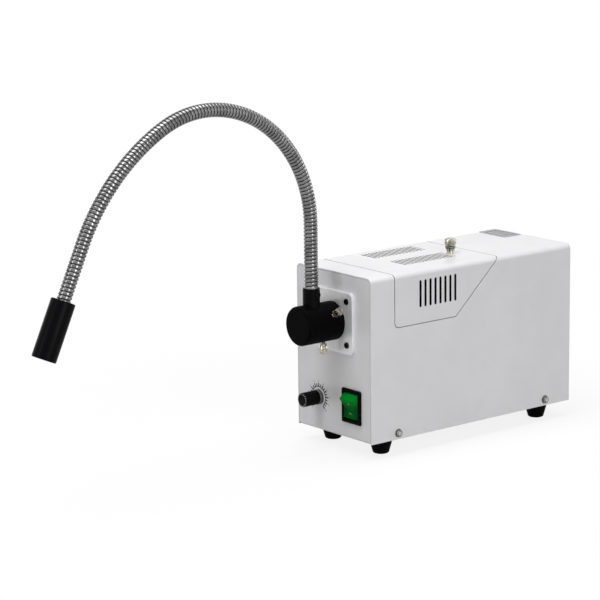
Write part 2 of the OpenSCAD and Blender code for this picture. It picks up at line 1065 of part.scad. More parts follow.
module board_parts() {
    color("navy")
        at_board()
            translate([0, 0, board_top]) {
                for (x = [-22, -10])
                    translate([x, 16, 0])
                        cylinder(r = 5, h = 14);
                translate([4, 9, 0])
                    cube([22, 14, 12]);
                translate([-26, -12, 0])
                    cube([14, 18, 11]);
                for (i = [0 : 3])
                    translate([-8 + i * 8, -28, 0])
                        cube([7, 9, 10]);
            }
}

module board_heatsink() {
    fins = 7;
    fin_pitch = 4.5;
    sink_h = 26;
    color("dimgray")
        at_board()
            translate([-4, -12, board_top])
                linear_extrude(sink_h) {
                    square([(fins - 1) * fin_pitch + 1.4, 3]);
                    for (i = [0 : fins - 1])
                        translate([i * fin_pitch, 0])
                            square([1.4, 14]);
                }
}

// ---------- transformer ----------

core_z = chassis_t;
leg_w = core_w / 3;
window_w = core_w / 6;
window_h = core_h - 2 * window_w;

module at_transformer() {
    translate([0, core_y, core_z])
        children();
}

module transformer_core() {
    color("dimgray")
        at_transformer()
            slab_y(-core_d / 2, core_d / 2)
                difference() {
                    translate([-core_w / 2, 0])
                        square([core_w, core_h]);
                    for (side = [-1, 1])
                        translate([side * (leg_w + window_w) / 2, core_h / 2])
                            square([window_w, window_h], center = true);
                }
}

module transformer_coil() {
    wind = window_w - slack;
    coil_h = window_h - 2 * slack;
    flange_t = 1.2;
    color("sienna")
        at_transformer()
            translate([0, 0, (core_h - coil_h) / 2])
                difference() {
                    union() {
                        linear_extrude(coil_h)
                            rounded(leg_w + 2 * wind - 2, core_d + 2 * wind - 2, 4);
                        for (z = [0, coil_h - flange_t])
                            translate([0, 0, z])
                                linear_extrude(flange_t)
                                    rounded(leg_w + 2 * wind, core_d + 2 * wind, 1);
                    }
                    translate([0, 0, -cut])
                        linear_extrude(coil_h + 2 * cut)
                            square([leg_w, core_d], center = true);
                }
}

module transformer_strap() {
    strap_w = core_d - 6;
    strap_t = 1.5;
    foot_out = strap_foot_x + 4;
    color("silver")
        at_transformer()
            difference() {
                slab_y(-strap_w / 2, strap_w / 2)
                    difference() {
                        union() {
                            translate([-core_w / 2 - strap_t, 0])
                                square([core_w + 2 * strap_t, core_h + strap_t]);
                            translate([-foot_out, 0])
                                square([2 * foot_out, strap_t]);
                        }
                        translate([-core_w / 2, -cut])
                            square([core_w, core_h + cut]);
                    }
                for (side = [-1, 1])
                    translate([side * strap_foot_x, 0, -cut])
                        cylinder(r = m4 + bolt_gap, h = 5);
            }
}

module transformer_screws() {
    color("silver")
        for (side = [-1, 1])
            translate([side * strap_foot_x, core_y, chassis_t + 1.5])
                screw_z(m4, 3.4, 2.4, chassis_t + 1.5, 1.2);
}

// ---------- fan ----------

fan_y0 = rear_in - fan_d;
fan_bore_r = fan_side / 2 - 2;
fan_hub_r = 15;

module at_fan() {
    translate([0, fan_y0, fan_z])
        children();
}

module fan_frame() {
    strut_t = 4;
    color("black")
        at_fan()
            difference() {
                union() {
                    slab_y(0, fan_d)
                        difference() {
                            rounded(fan_side, fan_side, 4);
                            circle(fan_bore_r);
                        }
                    along_y(0, strut_t, fan_hub_r);
                    for (a = [20 : 90 : 290])
                        rotate([0, a, 0])
                            translate([fan_hub_r - 1, 0, -1.5])
                                cube([fan_bore_r - fan_hub_r + 2, strut_t - 1, 3]);
                    along_y(strut_t - cut, fan_d - 6, 1.5);
                }
                for (sx = [-1, 1], sz = [-1, 1])
                    translate([sx * fan_hole, 0, sz * fan_hole])
                        along_y(-cut, fan_d + cut, m4 + bolt_gap);
            }
}

module fan_screws() {
    color("silver")
        at_fan()
            for (sx = [-1, 1], sz = [-1, 1])
                translate([sx * fan_hole, fan_d + chassis_t, sz * fan_hole])
                    rotate([-90, 0, 0])
                        screw_z(m4, 3.5, 2.2, 16, 1.2);
}

module fan_rotor() {
    hub_0 = 4.6;
    hub_1 = fan_d - 2;
    blade_tip_r = fan_bore_r - 1;
    color("dimgray")
        at_fan()
            difference() {
                union() {
                    along_y(hub_0, hub_1, fan_hub_r);
                    intersection() {
                        difference() {
                            along_y(hub_0, hub_1, blade_tip_r);
                            along_y(hub_0 - cut, hub_1 + cut, fan_hub_r - 1);
                        }
                        for (i = [0 : fan_blades - 1])
                            rotate([0, 360 * i / fan_blades, 0])
                                translate([0, (hub_0 + hub_1) / 2, 0])
                                    rotate([42, 0, 0])
                                        translate([0, -13, -0.9])
                                            cube([fan_side, 26, 1.8]);
                    }
                }
                along_y(hub_0 - cut, fan_d - 5.7, 1.5 + run);
            }
}

// ---------- mains inlet ----------

inlet_flange_w = 50;
inlet_flange_h = 32;
inlet_flange_t = 2.5;
inlet_body_w = 28;
inlet_body_h = 27.6;
inlet_face = rear + inlet_flange_t;
inlet_back = rear - 24;
socket_dz = 4.4;
drawer_dz = -10;
drawer_w = 25;
drawer_h = 6;
drawer_l = 19;

module at_inlet() {
    translate([0, 0, inlet_z])
        children();
}

// the C14 opening: a rectangle with its two upper corners cut
module inlet_opening() {
    w = 24.4;
    h = 16.4;
    c = 4;
    polygon([[-w / 2, -h / 2], [w / 2, -h / 2], [w / 2, h / 2 - c], [w / 2 - c, h / 2], [-w / 2 + c, h / 2], [-w / 2, h / 2 - c]]);
}

module mains_inlet() {
    color("black")
        at_inlet()
            difference() {
                union() {
                    slab_y(rear, inlet_face)
                        rounded(inlet_flange_w, inlet_flange_h, 4);
                    slab_y(inlet_back, rear)
                        square([inlet_body_w, inlet_body_h], center = true);
                }
                slab_y(inlet_face - 17, inlet_face + cut)
                    translate([0, socket_dz])
                        inlet_opening();
                slab_y(inlet_face - drawer_l - 1.2, inlet_face + cut)
                    translate([0, drawer_dz])
                        square([drawer_w + 2 * slack, drawer_h + 2 * slack], center = true);
                for (side = [-1, 1])
                    translate([side * inlet_hole_x, 0, 0]) {
                        along_y(rear - cut, inlet_face + cut, m3 + bolt_gap);
                        translate([0, inlet_face - 1.6, 0])
                            turned_y([[0, 0], [m3 + bolt_gap, 0], [3.1, 1.6], [3.1, 3], [0, 3]]);
                    }
            }
}

module inlet_pins() {
    color("silver")
        at_inlet()
            for (p = [[-7, -1.6], [7, -1.6], [0, 2.4]])
                translate([p[0], 0, p[1] + socket_dz])
                    slab_y(inlet_face - 17, inlet_face - 2.5)
                        square([2, 4], center = true);
}

module inlet_screws() {
    color("silver")
        at_inlet()
            for (side = [-1, 1])
                translate([side * inlet_hole_x, 0, 0]) {
                    along_y(rear_in - 5, inlet_face - 1.5, m3);
                    turned_y([[0, inlet_face - 1.5], [m3, inlet_face - 1.5], [2.8, inlet_face - 0.2], [0, inlet_face - 0.2]]);
                }
}

module fuse_drawer() {
    face_t = 1.2;
    color("black")
        at_inlet()
            translate([0, 0, drawer_dz])
                difference() {
                    union() {
                        slab_y(inlet_face - drawer_l, inlet_face)
                            square([drawer_w, drawer_h], center = true);
                        slab_y(inlet_face + 0.1, inlet_face + face_t)
                            rounded(drawer_w + 1.4, drawer_h + 1.4, 1);
                        slab_y(inlet_face - cut, inlet_face + face_t)
                            square([drawer_w - 1, drawer_h - 1], center = true);
                    }
                    translate([-11, inlet_face - drawer_l + 3, -drawer_h / 2 + 0.8])
                        cube([22, 7, drawer_h]);
                    slab_y(inlet_face + face_t - 0.6, inlet_face + face_t + cut)
                        square([8, 2], center = true);
                }
}

module fuse_link() {
    color("white")
        at_inlet()
            translate([0, inlet_face - drawer_l + 6.5, drawer_dz])
                along_x(-10, 10, 2.1);
}

// ---------- light guide head ----------

chamber_end = head_front + 4;
plug_back = wall_in + 9.5;
plug_front = head_back - 5;
bundle_r = 3.7;
bend_r = plug_r + run;
bundle_top = collar_top - 16.7;

module guide_plug() {
    throat = bundle_r + apart;
    color("silver")
        at_lamp_axis()
            difference() {
                turned_y([[0, plug_front], [plug_r, plug_front], [plug_r, plug_back - 0.6], [plug_r - 0.6, plug_back], [0, plug_back]]);
                along_y(plug_front - cut, plug_back - 10, plug_r - 1.6);
                along_y(plug_front - cut, plug_back + cut, throat);
            }
}

module guide_head() {
    edge = 2.5;
    steps = 6;
    color("black")
        at_lamp_axis()
            difference() {
                turned_y(concat(
                    [[0, head_front]],
                    [for (i = [0 : steps]) let (a = 90 * i / steps)
                        [head_r - edge + edge * sin(a), head_front + edge - edge * cos(a)]],
                    [[head_r, head_back - apart], [0, head_back - apart]]));
                along_y(plug_front - apart, head_back + cut, plug_r + run);
                along_y(chamber_end, head_back + cut, plug_r - 1);
                translate([0, collar_y, 0])
                    cylinder(r = collar_r + run, h = head_r + cut);
            }
}

module gooseneck_collar() {
    foot = plug_r + apart;
    color("black")
        translate([lamp_x, collar_y, lamp_z])
            difference() {
                turned_z([[0, foot], [collar_r, foot], [collar_r, collar_h - 1], [collar_r - 0.6, collar_h], [0, collar_h]]);
                cylinder(r = bundle_r + 1, h = collar_h + cut);
                translate([0, 0, bundle_top - lamp_z - 0.1])
                    cylinder(r = hose_r + 0.1 + run, h = collar_h);
                translate([0, 0, collar_h - 5.2])
                    along_x(0, collar_r + cut, m3 + run);
            }
}

module collar_screw() {
    color("dimgray")
        translate([lamp_x, collar_y, collar_top - 5.2])
            difference() {
                union() {
                    along_x(hose_r + 0.2, collar_r + 1, m3);
                    along_x(collar_r + 0.1, collar_r + 2.4, 2.5);
                }
                translate([collar_r + 1.2, 0, 0])
                    rotate([0, 90, 0])
                        cylinder(r = 1.2, h = 3, $fn = 6);
            }
}

// the bundle's turn inside the head, from the plug's face up into the collar
module bundle_bend() {
    turn_y = collar_y + bend_r;
    color("white")
        at_lamp_axis() {
            along_y(turn_y, plug_back - 0.2, bundle_r);
            translate([0, turn_y, bend_r])
                rotate([0, -90, 0])
                    rotate([0, 0, 180])
                        rotate_extrude(angle = 90)
                            translate([bend_r, 0])
                                circle(bundle_r);
            translate([0, collar_y, bend_r])
                cylinder(r = bundle_r, h = bundle_top - lamp_z - bend_r - apart);
        }
}

// ---------- gooseneck ----------

// a run of the route: [length, radius], where radius 0 is straight
hose_in_nozzle = 8;
hose_start = collar_top + apart;
runs = [
    [rise_l, 0],
    [bend_1_r * bend_1_a * PI / 180, bend_1_r],
    [bend_2_r * bend_2_a * PI / 180, bend_2_r],
    [bend_3_r * bend_3_a * PI / 180, bend_3_r],
    [fall_l + hose_in_nozzle, 0],
];
hose_l = runs[0][0] + runs[1][0] + runs[2][0] + runs[3][0] + runs[4][0];

// a state is [y, z, heading], the heading in degrees from straight up towards the front
function ahead(s, l, r) = r == 0
    ? [s[0] - l * sin(s[2]), s[1] + l * cos(s[2]), s[2]]
    : let (h = s[2] + l / r * 180 / PI)
        [s[0] - r * cos(s[2]) + r * cos(h), s[1] - r * sin(s[2]) + r * sin(h), h];
function along(s, l, i = 0) = i >= len(runs) - 1 || l <= runs[i][0]
    ? ahead(s, l, runs[i][1])
    : along(ahead(s, runs[i][0], runs[i][1]), l - runs[i][0], i + 1);
function route(l) = along([collar_y, hose_start, 0], l);
hose_end = route(hose_l);
nozzle_top = route(hose_l - hose_in_nozzle);
tip_recess = 1.5;
bundle_l = hose_l - hose_in_nozzle + nozzle_l - tip_recess;

// one ring of points square to the route
function ring(l, r, n) = let (s = route(l))
    [for (i = [0 : n - 1]) let (a = 360 * i / n, u = r * cos(a), v = r * sin(a))
        [lamp_x + u, s[0] + v * cos(s[2]), s[1] + v * sin(s[2])]];
// two triangles for each side between the ring that starts at a and the one that starts at b
function band(a, b, n) = [for (i = [0 : n - 1], k = [0, 1]) let (j = (i + 1) % n)
    k == 0 ? [a + i, b + i, b + j] : [a + i, b + j, a + j]];

module gooseneck_hose() {
    sides = 8;
    ribs = floor(hose_l / rib_pitch);
    pitch = hose_l / ribs;
    skin = [for (k = [0 : 2 * ribs]) [k * pitch / 2, k % 2 == 0 ? hose_r - rib_depth : hose_r]];
    bores = 56;
    lining = [for (k = [0 : bores]) hose_l * k / bores];
    first = len(skin) * sides;
    points = concat(
        [for (k = skin) each ring(k[0], k[1], sides)],
        [for (l = lining) each ring(l, hose_bore_r, sides)]);
    last_skin = (len(skin) - 1) * sides;
    last_bore = first + bores * sides;
    faces = concat(
        [for (k = [0 : len(skin) - 2]) each band(k * sides, (k + 1) * sides, sides)],
        [for (k = [0 : bores - 1]) each band(first + (k + 1) * sides, first + k * sides, sides)],
        band(first, 0, sides),
        band(last_skin, last_bore, sides));
    color("silver")
        polyhedron(points, faces);
}

module fibre_bundle() {
    sides = 8;
    start_l = bundle_top - hose_start;
    rings = 54;
    stations = [for (k = [0 : rings]) start_l + (bundle_l - start_l) * k / rings];
    last = rings * sides;
    color("white")
        polyhedron(
            [for (l = stations) each l < 0 ? lowered(l, sides) : l > hose_l ? raised(l, sides) : ring(l, bundle_r, sides)],
            concat(
                [for (k = [0 : rings - 1]) each band(k * sides, (k + 1) * sides, sides)],
                [for (i = [1 : sides - 2]) [0, i, i + 1]],
                [for (i = [1 : sides - 2]) [last, last + i + 1, last + i]]));
}

// rings of the bundle below the hose's foot and past its end
function lowered(l, n) = [for (p = ring(0, bundle_r, n)) p + [0, 0, l]];
function raised(l, n) = let (d = l - hose_l)
    [for (p = ring(hose_l, bundle_r, n)) p + d * [0, -sin(hose_end[2]), cos(hose_end[2])]];

module hose_sleeve() {
    color("silver")
        translate([lamp_x, collar_y, bundle_top])
            difference() {
                cylinder(r = hose_r + 0.1, h = hose_start - bundle_top);
                translate([0, 0, -cut])
                    cylinder(r = bundle_r + apart, h = collar_h);
            }
}

module at_nozzle() {
    translate([lamp_x, nozzle_top[0], nozzle_top[1]])
        rotate([nozzle_top[2], 0, 0])
            children();
}

ferrule_l = 12;
ferrule_r = 8;

module nozzle() {
    bevel = 0.8;
    color("black")
        at_nozzle()
            difference() {
                turned_z([[0, 0], [nozzle_r - bevel, 0], [nozzle_r, bevel], [nozzle_r, nozzle_l - bevel],
                    [nozzle_r - bevel, nozzle_l], [0, nozzle_l]]);
                translate([0, 0, -cut])
                    cylinder(r = hose_r + slack, h = hose_in_nozzle + cut + 0.1);
                translate([0, 0, -cut])
                    cylinder(r = bundle_r + 0.6, h = nozzle_l);
                translate([0, 0, nozzle_l - ferrule_l - tip_recess])
                    cylinder(r = ferrule_r + 0.1, h = nozzle_l);
            }
}

module nozzle_ferrule() {
    color("silver")
        at_nozzle()
            translate([0, 0, nozzle_l - ferrule_l - tip_recess])
                difference() {
                    cylinder(r = ferrule_r, h = ferrule_l);
                    translate([0, 0, -cut])
                        cylinder(r = bundle_r + 0.1, h = ferrule_l + 2 * cut);
                }
}

// ---------- assembly ----------

chassis();
cover_shell();
cover_screws();
rubber_feet();
foot_screws();
adapter_plate();
adapter_screws();
guide_socket();
socket_nut();
switch_body();
switch_terminals();
pot_body();
pot_nut();
hood_bridge();
bridge_insert();
lamp_bracket();
bracket_screws();
lamp_reflector();
lamp_capsule();
lamp_holder();
heat_filter();
filter_holder();
dimmer_board();
board_standoffs();
board_parts();
board_heatsink();
transformer_core();
transformer_coil();
transformer_strap();
transformer_screws();
fan_frame();
fan_screws();
mains_inlet();
inlet_pins();
inlet_screws();
lamp_hood();
hood_ferrule();
hood_thumbscrew();
brightness_knob();
knob_cap();
pot_shaft();
power_rocker();
fan_rotor();
fuse_drawer();
fuse_link();
socket_screw_right();
socket_screw_left();
socket_screw_under();
guide_plug();
guide_head();
gooseneck_collar();
collar_screw();
bundle_bend();
hose_sleeve();
gooseneck_hose();
fibre_bundle();
nozzle();
nozzle_ferrule();
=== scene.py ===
import json
from math import atan, cos, degrees, pi, radians, sin

import bmesh
import bpy
from mathutils import Matrix, Vector

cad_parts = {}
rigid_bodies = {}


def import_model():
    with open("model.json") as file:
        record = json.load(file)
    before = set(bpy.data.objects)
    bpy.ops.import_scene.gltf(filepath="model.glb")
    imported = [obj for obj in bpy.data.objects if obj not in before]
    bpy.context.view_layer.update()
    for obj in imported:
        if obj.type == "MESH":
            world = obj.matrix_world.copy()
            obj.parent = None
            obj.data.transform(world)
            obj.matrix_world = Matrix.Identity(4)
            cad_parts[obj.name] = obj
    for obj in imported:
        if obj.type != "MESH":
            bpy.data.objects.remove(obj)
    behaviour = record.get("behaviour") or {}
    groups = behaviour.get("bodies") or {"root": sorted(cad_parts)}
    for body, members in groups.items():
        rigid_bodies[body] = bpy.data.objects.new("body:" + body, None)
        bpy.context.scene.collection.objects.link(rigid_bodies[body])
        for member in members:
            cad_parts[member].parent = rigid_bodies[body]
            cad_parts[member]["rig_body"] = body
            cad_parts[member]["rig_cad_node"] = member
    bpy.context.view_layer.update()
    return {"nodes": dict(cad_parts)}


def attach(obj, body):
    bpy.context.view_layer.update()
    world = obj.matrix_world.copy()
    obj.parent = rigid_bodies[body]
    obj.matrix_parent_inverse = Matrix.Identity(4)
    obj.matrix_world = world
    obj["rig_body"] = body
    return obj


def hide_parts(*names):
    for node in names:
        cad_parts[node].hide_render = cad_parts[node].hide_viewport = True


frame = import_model()
NODES = frame["nodes"]
MM = 0.001

# Sizes and places that several pieces share, in millimetres, as in the part's source
BODY_W, BODY_L, BODY_H = 104, 248, 152
EDGE_R = 5
FRONT, REAR = -BODY_L / 2, BODY_L / 2
HOOD_FRONT = FRONT + 28
HOOD_SCREW_X, HOOD_SCREW_Y = 9.2, 10.0
ROOF_PLATE_X, ROOF_PLATE_Y = -30.5, 110.5
SIDE_SCREW_IN, SIDE_SCREW_Z = 32, 5.8
FOOT_X, FOOT_Y, FOOT_H = 34, 97.5, 15
FAN_Z, FAN_SCREW_REACH = 98, 35.75
LAMP_X, LAMP_Z = 2, 107.3
PLATE_FACE = FRONT - 3
HEAD_BACK = PLATE_FACE - 15
THUMB_Y = HEAD_BACK + 4.3
COLLAR_Y = HEAD_BACK - 9
COLLAR_TOP = LAMP_Z + 33.4
KNOB_X, CONTROL_Z = -22, 31
SWITCH_X = 25.6
PIVOT_Y = FRONT + 3
TILT = 16
HOSE_START = COLLAR_TOP + 0.3
HOSE_IN_NOZZLE = 8
NOZZLE_L = 51.5
TIP_RECESS = 1.5
# The gooseneck's straight runs at its two ends, and its bends between them as (radius, degrees)
RISE, FALL = 57, 47
BENDS = ((113, 90), (101, 28), (192, 37.4))
WHITE = (1, 1, 1, 1)


# ---------- shading ----------

def give(tree, socket, value):
    """Links a node's output to a socket, or sets a plain value on it."""
    if isinstance(value, Amount):
        tree.links.new(value.socket, socket)
    elif isinstance(value, bpy.types.NodeSocket):
        tree.links.new(value, socket)
    else:
        socket.default_value = value


def new_node(tree, kind, settings=None, values=None):
    """A shader node of a kind, with its settings and with values or links on its inputs."""
    made = tree.nodes.new("ShaderNode" + kind)
    for name, setting in (settings or {}).items():
        setattr(made, name, setting)
    for name, value in (values or {}).items():
        give(tree, made.inputs[name], value)
    return made


class Amount:
    """A number that changes over a surface. Arithmetic on it adds Math nodes."""

    def __init__(self, tree, socket):
        self.tree, self.socket = tree, socket

    def math(self, operation, *operands):
        made = new_node(self.tree, "Math", {"operation": operation}, dict(enumerate(operands)))
        return Amount(self.tree, made.outputs[0])

    def __add__(self, other):
        return self.math("ADD", self, other)

    def __sub__(self, other):
        return self.math("SUBTRACT", self, other)

    def __rsub__(self, other):
        return self.math("SUBTRACT", other, self)

    def __mul__(self, other):
        return self.math("MULTIPLY", self, other)

    def __pow__(self, other):
        return self.math("POWER", self, other)

    def __abs__(self):
        return self.math("ABSOLUTE", self)

    def wave(self):
        return self.math("SINE", self)

    def most(self, other):
        return self.math("MAXIMUM", self, other)

    __radd__ = __add__
    __rmul__ = __mul__


class Finish:
    """One material: a Principled shader and the nodes that feed it."""

    def __init__(self, name, **constants):
        self.material = bpy.data.materials.new(name)
        self.material.use_nodes = True
        self.tree = self.material.node_tree
        self.tree.nodes.clear()
        self.output = self.node("OutputMaterial")
        self.shader = self.node("BsdfPrincipled")
        self.set(**constants)
        self.show(self.shader)
        self.place = self.node("TexCoord").outputs["Object"]
        self.relief = None

    def node(self, kind, settings=None, values=None):
        return new_node(self.tree, kind, settings, values)

    def set(self, **inputs):
        for name, value in inputs.items():
            give(self.tree, self.shader.inputs[name.replace("_", " ")], value)

    def show(self, shader):
        give(self.tree, self.output.inputs["Surface"], shader.outputs[0])

    def stretched(self, stretch):
        """Object coordinates multiplied along each axis."""
        return self.node("Mapping", {}, {"Vector": self.place, "Scale": stretch}).outputs[0]

    def noise(self, scale, detail=3.0, stretch=None, distortion=0.0):
        where = self.stretched(stretch) if stretch else self.place
        made = self.node("TexNoise", {}, {"Vector": where, "Scale": scale, "Detail": detail,
                                          "Distortion": distortion})
        return Amount(self.tree, made.outputs["Fac"])

    def cells(self, scale):
        made = self.node("TexVoronoi", {}, {"Vector": self.place, "Scale": scale})
        return Amount(self.tree, made.outputs["Distance"])

    def axes(self):
        made = self.node("SeparateXYZ", {}, {"Vector": self.place})
        return [Amount(self.tree, made.outputs[i]) for i in range(3)]

    def between(self, value, low, high):
        """0 below low, 1 above high, smooth in between."""
        made = self.node("MapRange", {"interpolation_type": "SMOOTHSTEP"},
                         {"Value": value, "From Min": low, "From Max": high})
        return Amount(self.tree, made.outputs[0])

    def mixed(self, factor, first, second):
        """A colour between two others."""
        a, b, result = 6, 7, 2
        made = self.node("Mix", {"data_type": "RGBA"}, {"Factor": factor, a: rgba(first), b: rgba(second)})
        return made.outputs[result]

    def edges(self, radius):
        """1 along sharp edges and 0 on flat ground, from a rounded normal."""
        rounded = self.node("Bevel", {"samples": 4}, {"Radius": radius})
        real = self.node("NewGeometry")
        dot = self.node("VectorMath", {"operation": "DOT_PRODUCT"},
                        {0: rounded.outputs[0], 1: real.outputs["Normal"]})
        return self.between(1 - Amount(self.tree, dot.outputs["Value"]), 0.02, 0.3)

    def crevice(self, reach):
        """1 deep in seams, slots and corners, 0 on open ground, from ambient occlusion: a mask for painted
        shade.
        """
        shade = self.node("AmbientOcclusion", {"samples": 8}, {"Distance": reach})
        return self.between(1 - Amount(self.tree, shade.outputs["AO"]), 0.25, 0.85)

    def bump(self, height, distance):
        """Relief on top of what is there already."""
        values = {"Height": height, "Distance": distance, "Strength": 1.0}
        if self.relief:
            values["Normal"] = self.relief
        self.relief = self.node("Bump", {}, values).outputs[0]
        self.set(Normal=self.relief)


def rgba(colour):
    return (*colour, 1) if isinstance(colour, tuple) else colour


def ripple(along, spacing):
    """Even waves along an axis; the spacing is in millimetres."""
    return (along * (2 * pi / (spacing * MM))).wave()


def enamel(name, colour, shade, worn):
    """Stoved enamel: a faint orange peel, soft mottling, painted shade in seams, slots and corners, and edges
    rubbed thin.
    """
    f = Finish(name, IOR=1.5)
    painted_crevice_shade = f.crevice(2 * MM)
    mottle = f.noise(14, 4)
    cloud = f.noise(45, 5, distortion=0.4)
    rub = f.edges(0.8 * MM) * f.between(f.noise(160, 3), 0.35, 0.75)
    speck = f.between(f.noise(900, 2), 0.74, 0.82)
    paint = f.mixed(f.between(mottle * 0.6 + cloud * 0.4, 0.35, 0.65), colour, shade)
    paint = f.mixed(rub * 0.55, paint, worn)
    paint = f.mixed(speck * 0.12, paint, (0.30, 0.29, 0.27))
    # painted shade: the base colour goes near-black where ambient occlusion finds seams, slots and corners
    f.set(Base_Color=f.mixed(painted_crevice_shade * 0.6, paint, (0.03, 0.03, 0.03)),
          Roughness=0.26 + cloud * 0.12 + rub * 0.18 + speck * 0.2 + painted_crevice_shade * 0.3)
    f.bump(f.noise(1100, 2), 0.012 * MM)
    f.bump(f.noise(160, 2), 0.05 * MM)
    return f.material


def painted_shade_primer():
    """A near-black undercoat on the sheet's cut edges and inner side, used as painted shade in the slots, the
    seams and the inside.
    """
    f = Finish("inner primer", IOR=1.45, Specular_IOR_Level=0.05)
    spray = f.noise(220, 4)
    f.set(Base_Color=f.mixed(spray, (0.004, 0.004, 0.004), (0.012, 0.012, 0.012)),
          Roughness=0.6 + spray * 0.2)
    f.bump(f.noise(1200, 2), 0.02 * MM)
    return f.material


def anodised(name, colour, worn, axis, shine, gloss):
    """Turned aluminium, anodised: fine tool lines round an axis, handling marks and bright worn edges."""
    f = Finish(name, IOR=1.45, Specular_IOR_Level=shine)
    lines = ripple(f.axes()[axis], 0.35)
    marks = f.noise(260, 4, distortion=0.6)
    rub = f.edges(0.5 * MM) * f.between(f.noise(500, 3), 0.45, 0.8)
    f.set(Base_Color=f.mixed(rub * 0.3, f.mixed(marks, colour, tuple(c * 1.8 for c in colour)), worn),
          Roughness=gloss + marks * 0.16 - rub * 0.08)
    f.bump(lines, 0.004 * MM)
    f.bump(f.noise(2400, 2), 0.006 * MM)
    return f.material


def bare_metal(name, colour, dull, roughness, grain=None, lines=None, axis=0):
    """A metal with uneven tarnish; grain stretches its smears, lines spaces tool marks along an axis."""
    f = Finish(name, Metallic=1.0)
    tarnish = f.noise(120, 5, distortion=0.5)
    smear = f.noise(700, 3, stretch=grain or (1, 1, 1))
    f.set(Base_Color=f.mixed(f.between(tarnish * 0.5 + smear * 0.5, 0.35, 0.7), colour, dull),
          Roughness=roughness + smear * 0.12 + f.between(tarnish, 0.5, 0.8) * 0.08)
    f.bump(smear, 0.006 * MM)
    if lines:
        f.bump(ripple(f.axes()[axis], lines), 0.003 * MM)
    return f.material


def moulded(name, colour, pale, roughness, grain=900, shine=0.3):
    """Moulded plastic: fine spark texture, handling gloss and pale scuffs on its edges; where the pale colour
    is far lighter than the plastic, as on the knob, these are painted glints as well.
    """
    f = Finish(name, IOR=1.48, Specular_IOR_Level=shine)
    patch = f.noise(60, 4)
    scuffs_and_glints = f.edges(0.5 * MM) * f.between(f.noise(420, 3), 0.4, 0.75)
    f.set(Base_Color=f.mixed(scuffs_and_glints * 0.35, f.mixed(patch, colour, tuple(c * 1.6 for c in colour)), pale),
          Roughness=roughness + patch * 0.14 - scuffs_and_glints * 0.1)
    f.bump(f.noise(grain, 2), 0.02 * MM)
    return f.material


def brushed_plate():
    """Satin anodised plate: a fine vertical brushing, cloudy handling marks, and every edge lighter: rubbed
    bright, with a painted highlight on the bevels.
    """
    f = Finish("adapter plate", Metallic=0.3)
    brush = f.noise(900, 3, stretch=(1, 1, 0.06))
    cloud = f.noise(70, 4, distortion=0.5)
    rub = f.edges(0.7 * MM)
    worked = f.between(brush * 0.5 + cloud * 0.5, 0.35, 0.65)
    tone = f.mixed(worked, (0.84, 0.84, 0.85), (0.73, 0.73, 0.745))
    # painted highlight: every edge goes near-white all round, besides being rubbed
    f.set(Base_Color=f.mixed(rub, tone, (0.93, 0.93, 0.94)), Roughness=0.30 + brush * 0.12 - rub * 0.05)
    f.bump(brush, 0.01 * MM)
    return f.material


def foot_rubber():
    """Matt black rubber with a faint bloom, dusty towards the sole."""
    f = Finish("foot rubber", IOR=1.5, Specular_IOR_Level=0.02)
    bloom = f.noise(180, 5)
    dust = f.between(f.axes()[2] * -1, 12.3 * MM, 15.2 * MM) * f.between(f.noise(600, 3), 0.3, 0.7)
    black = f.mixed(bloom, (0.001, 0.001, 0.001), (0.003, 0.003, 0.003))
    f.set(Base_Color=f.mixed(dust * 0.14, black, (0.08, 0.075, 0.07)),
          Roughness=0.5 + bloom * 0.25 + dust * 0.15)
    f.bump(f.noise(2200, 3), 0.03 * MM)
    return f.material


def hose_steel():
    """Polished strip: drawn lines along the strip, a little tarnish and fingerprints."""
    f = Finish("hose steel", Metallic=1.0)
    smear = f.noise(90, 5, distortion=0.8)
    drawn = f.noise(3200, 2)
    f.set(Base_Color=f.mixed(f.between(smear, 0.35, 0.7), (0.225, 0.222, 0.227), (0.14, 0.138, 0.139)),
          Roughness=0.06 + smear * 0.06 + drawn * 0.04)
    f.bump(drawn, 0.004 * MM)
    return f.material


def hose_groove_shade():
    """The overlap between two turns: the same steel, made near-black as painted shade in the groove."""
    f = Finish("hose groove", Metallic=1.0)
    shade_variation = f.noise(300, 4)
    f.set(Base_Color=f.mixed(shade_variation, (0.022, 0.022, 0.022), (0.050, 0.049, 0.048)),
          Roughness=0.12 + shade_variation * 0.12)
    f.bump(shade_variation, 0.02 * MM)
    return f.material


def green_lens():
    """Coloured green plastic with painted light: lighter over its upper part and its middle, deep green at
    the sides and below.
    """
    f = Finish("green lens", IOR=1.49, Specular_IOR_Level=0.01)
    x, _, z = f.axes()
    cast = f.noise(380, 3, distortion=0.5)
    high = f.between(z, (CONTROL_Z - 4) * MM, (CONTROL_Z + 8) * MM)
    middle = 1 - f.between(abs(x - SWITCH_X * MM), 2 * MM, 9 * MM)
    # painted light: the upper part and the middle get the lighter green
    painted_light = high * 0.75 + middle * 0.25
    f.set(Base_Color=f.mixed(painted_light * 0.8 + cast * 0.2, (0.0, 0.05, 0.010), (0.0, 0.29, 0.025)),
          Roughness=0.28 + cast * 0.14)
    f.bump(ripple(z, 1.5) * middle, 0.01 * MM)
    return f.material


def ink(name, colour, thin):
    """Screen printed ink, thinner in places."""
    f = Finish(name, IOR=1.5, Specular_IOR_Level=0.2)
    broken = f.between(f.noise(1800, 3), 0.5, 0.8)
    f.set(Base_Color=f.mixed(broken, colour, thin), Roughness=0.45 + broken * 0.2)
    f.bump(f.noise(2600, 2), 0.01 * MM)
    return f.material


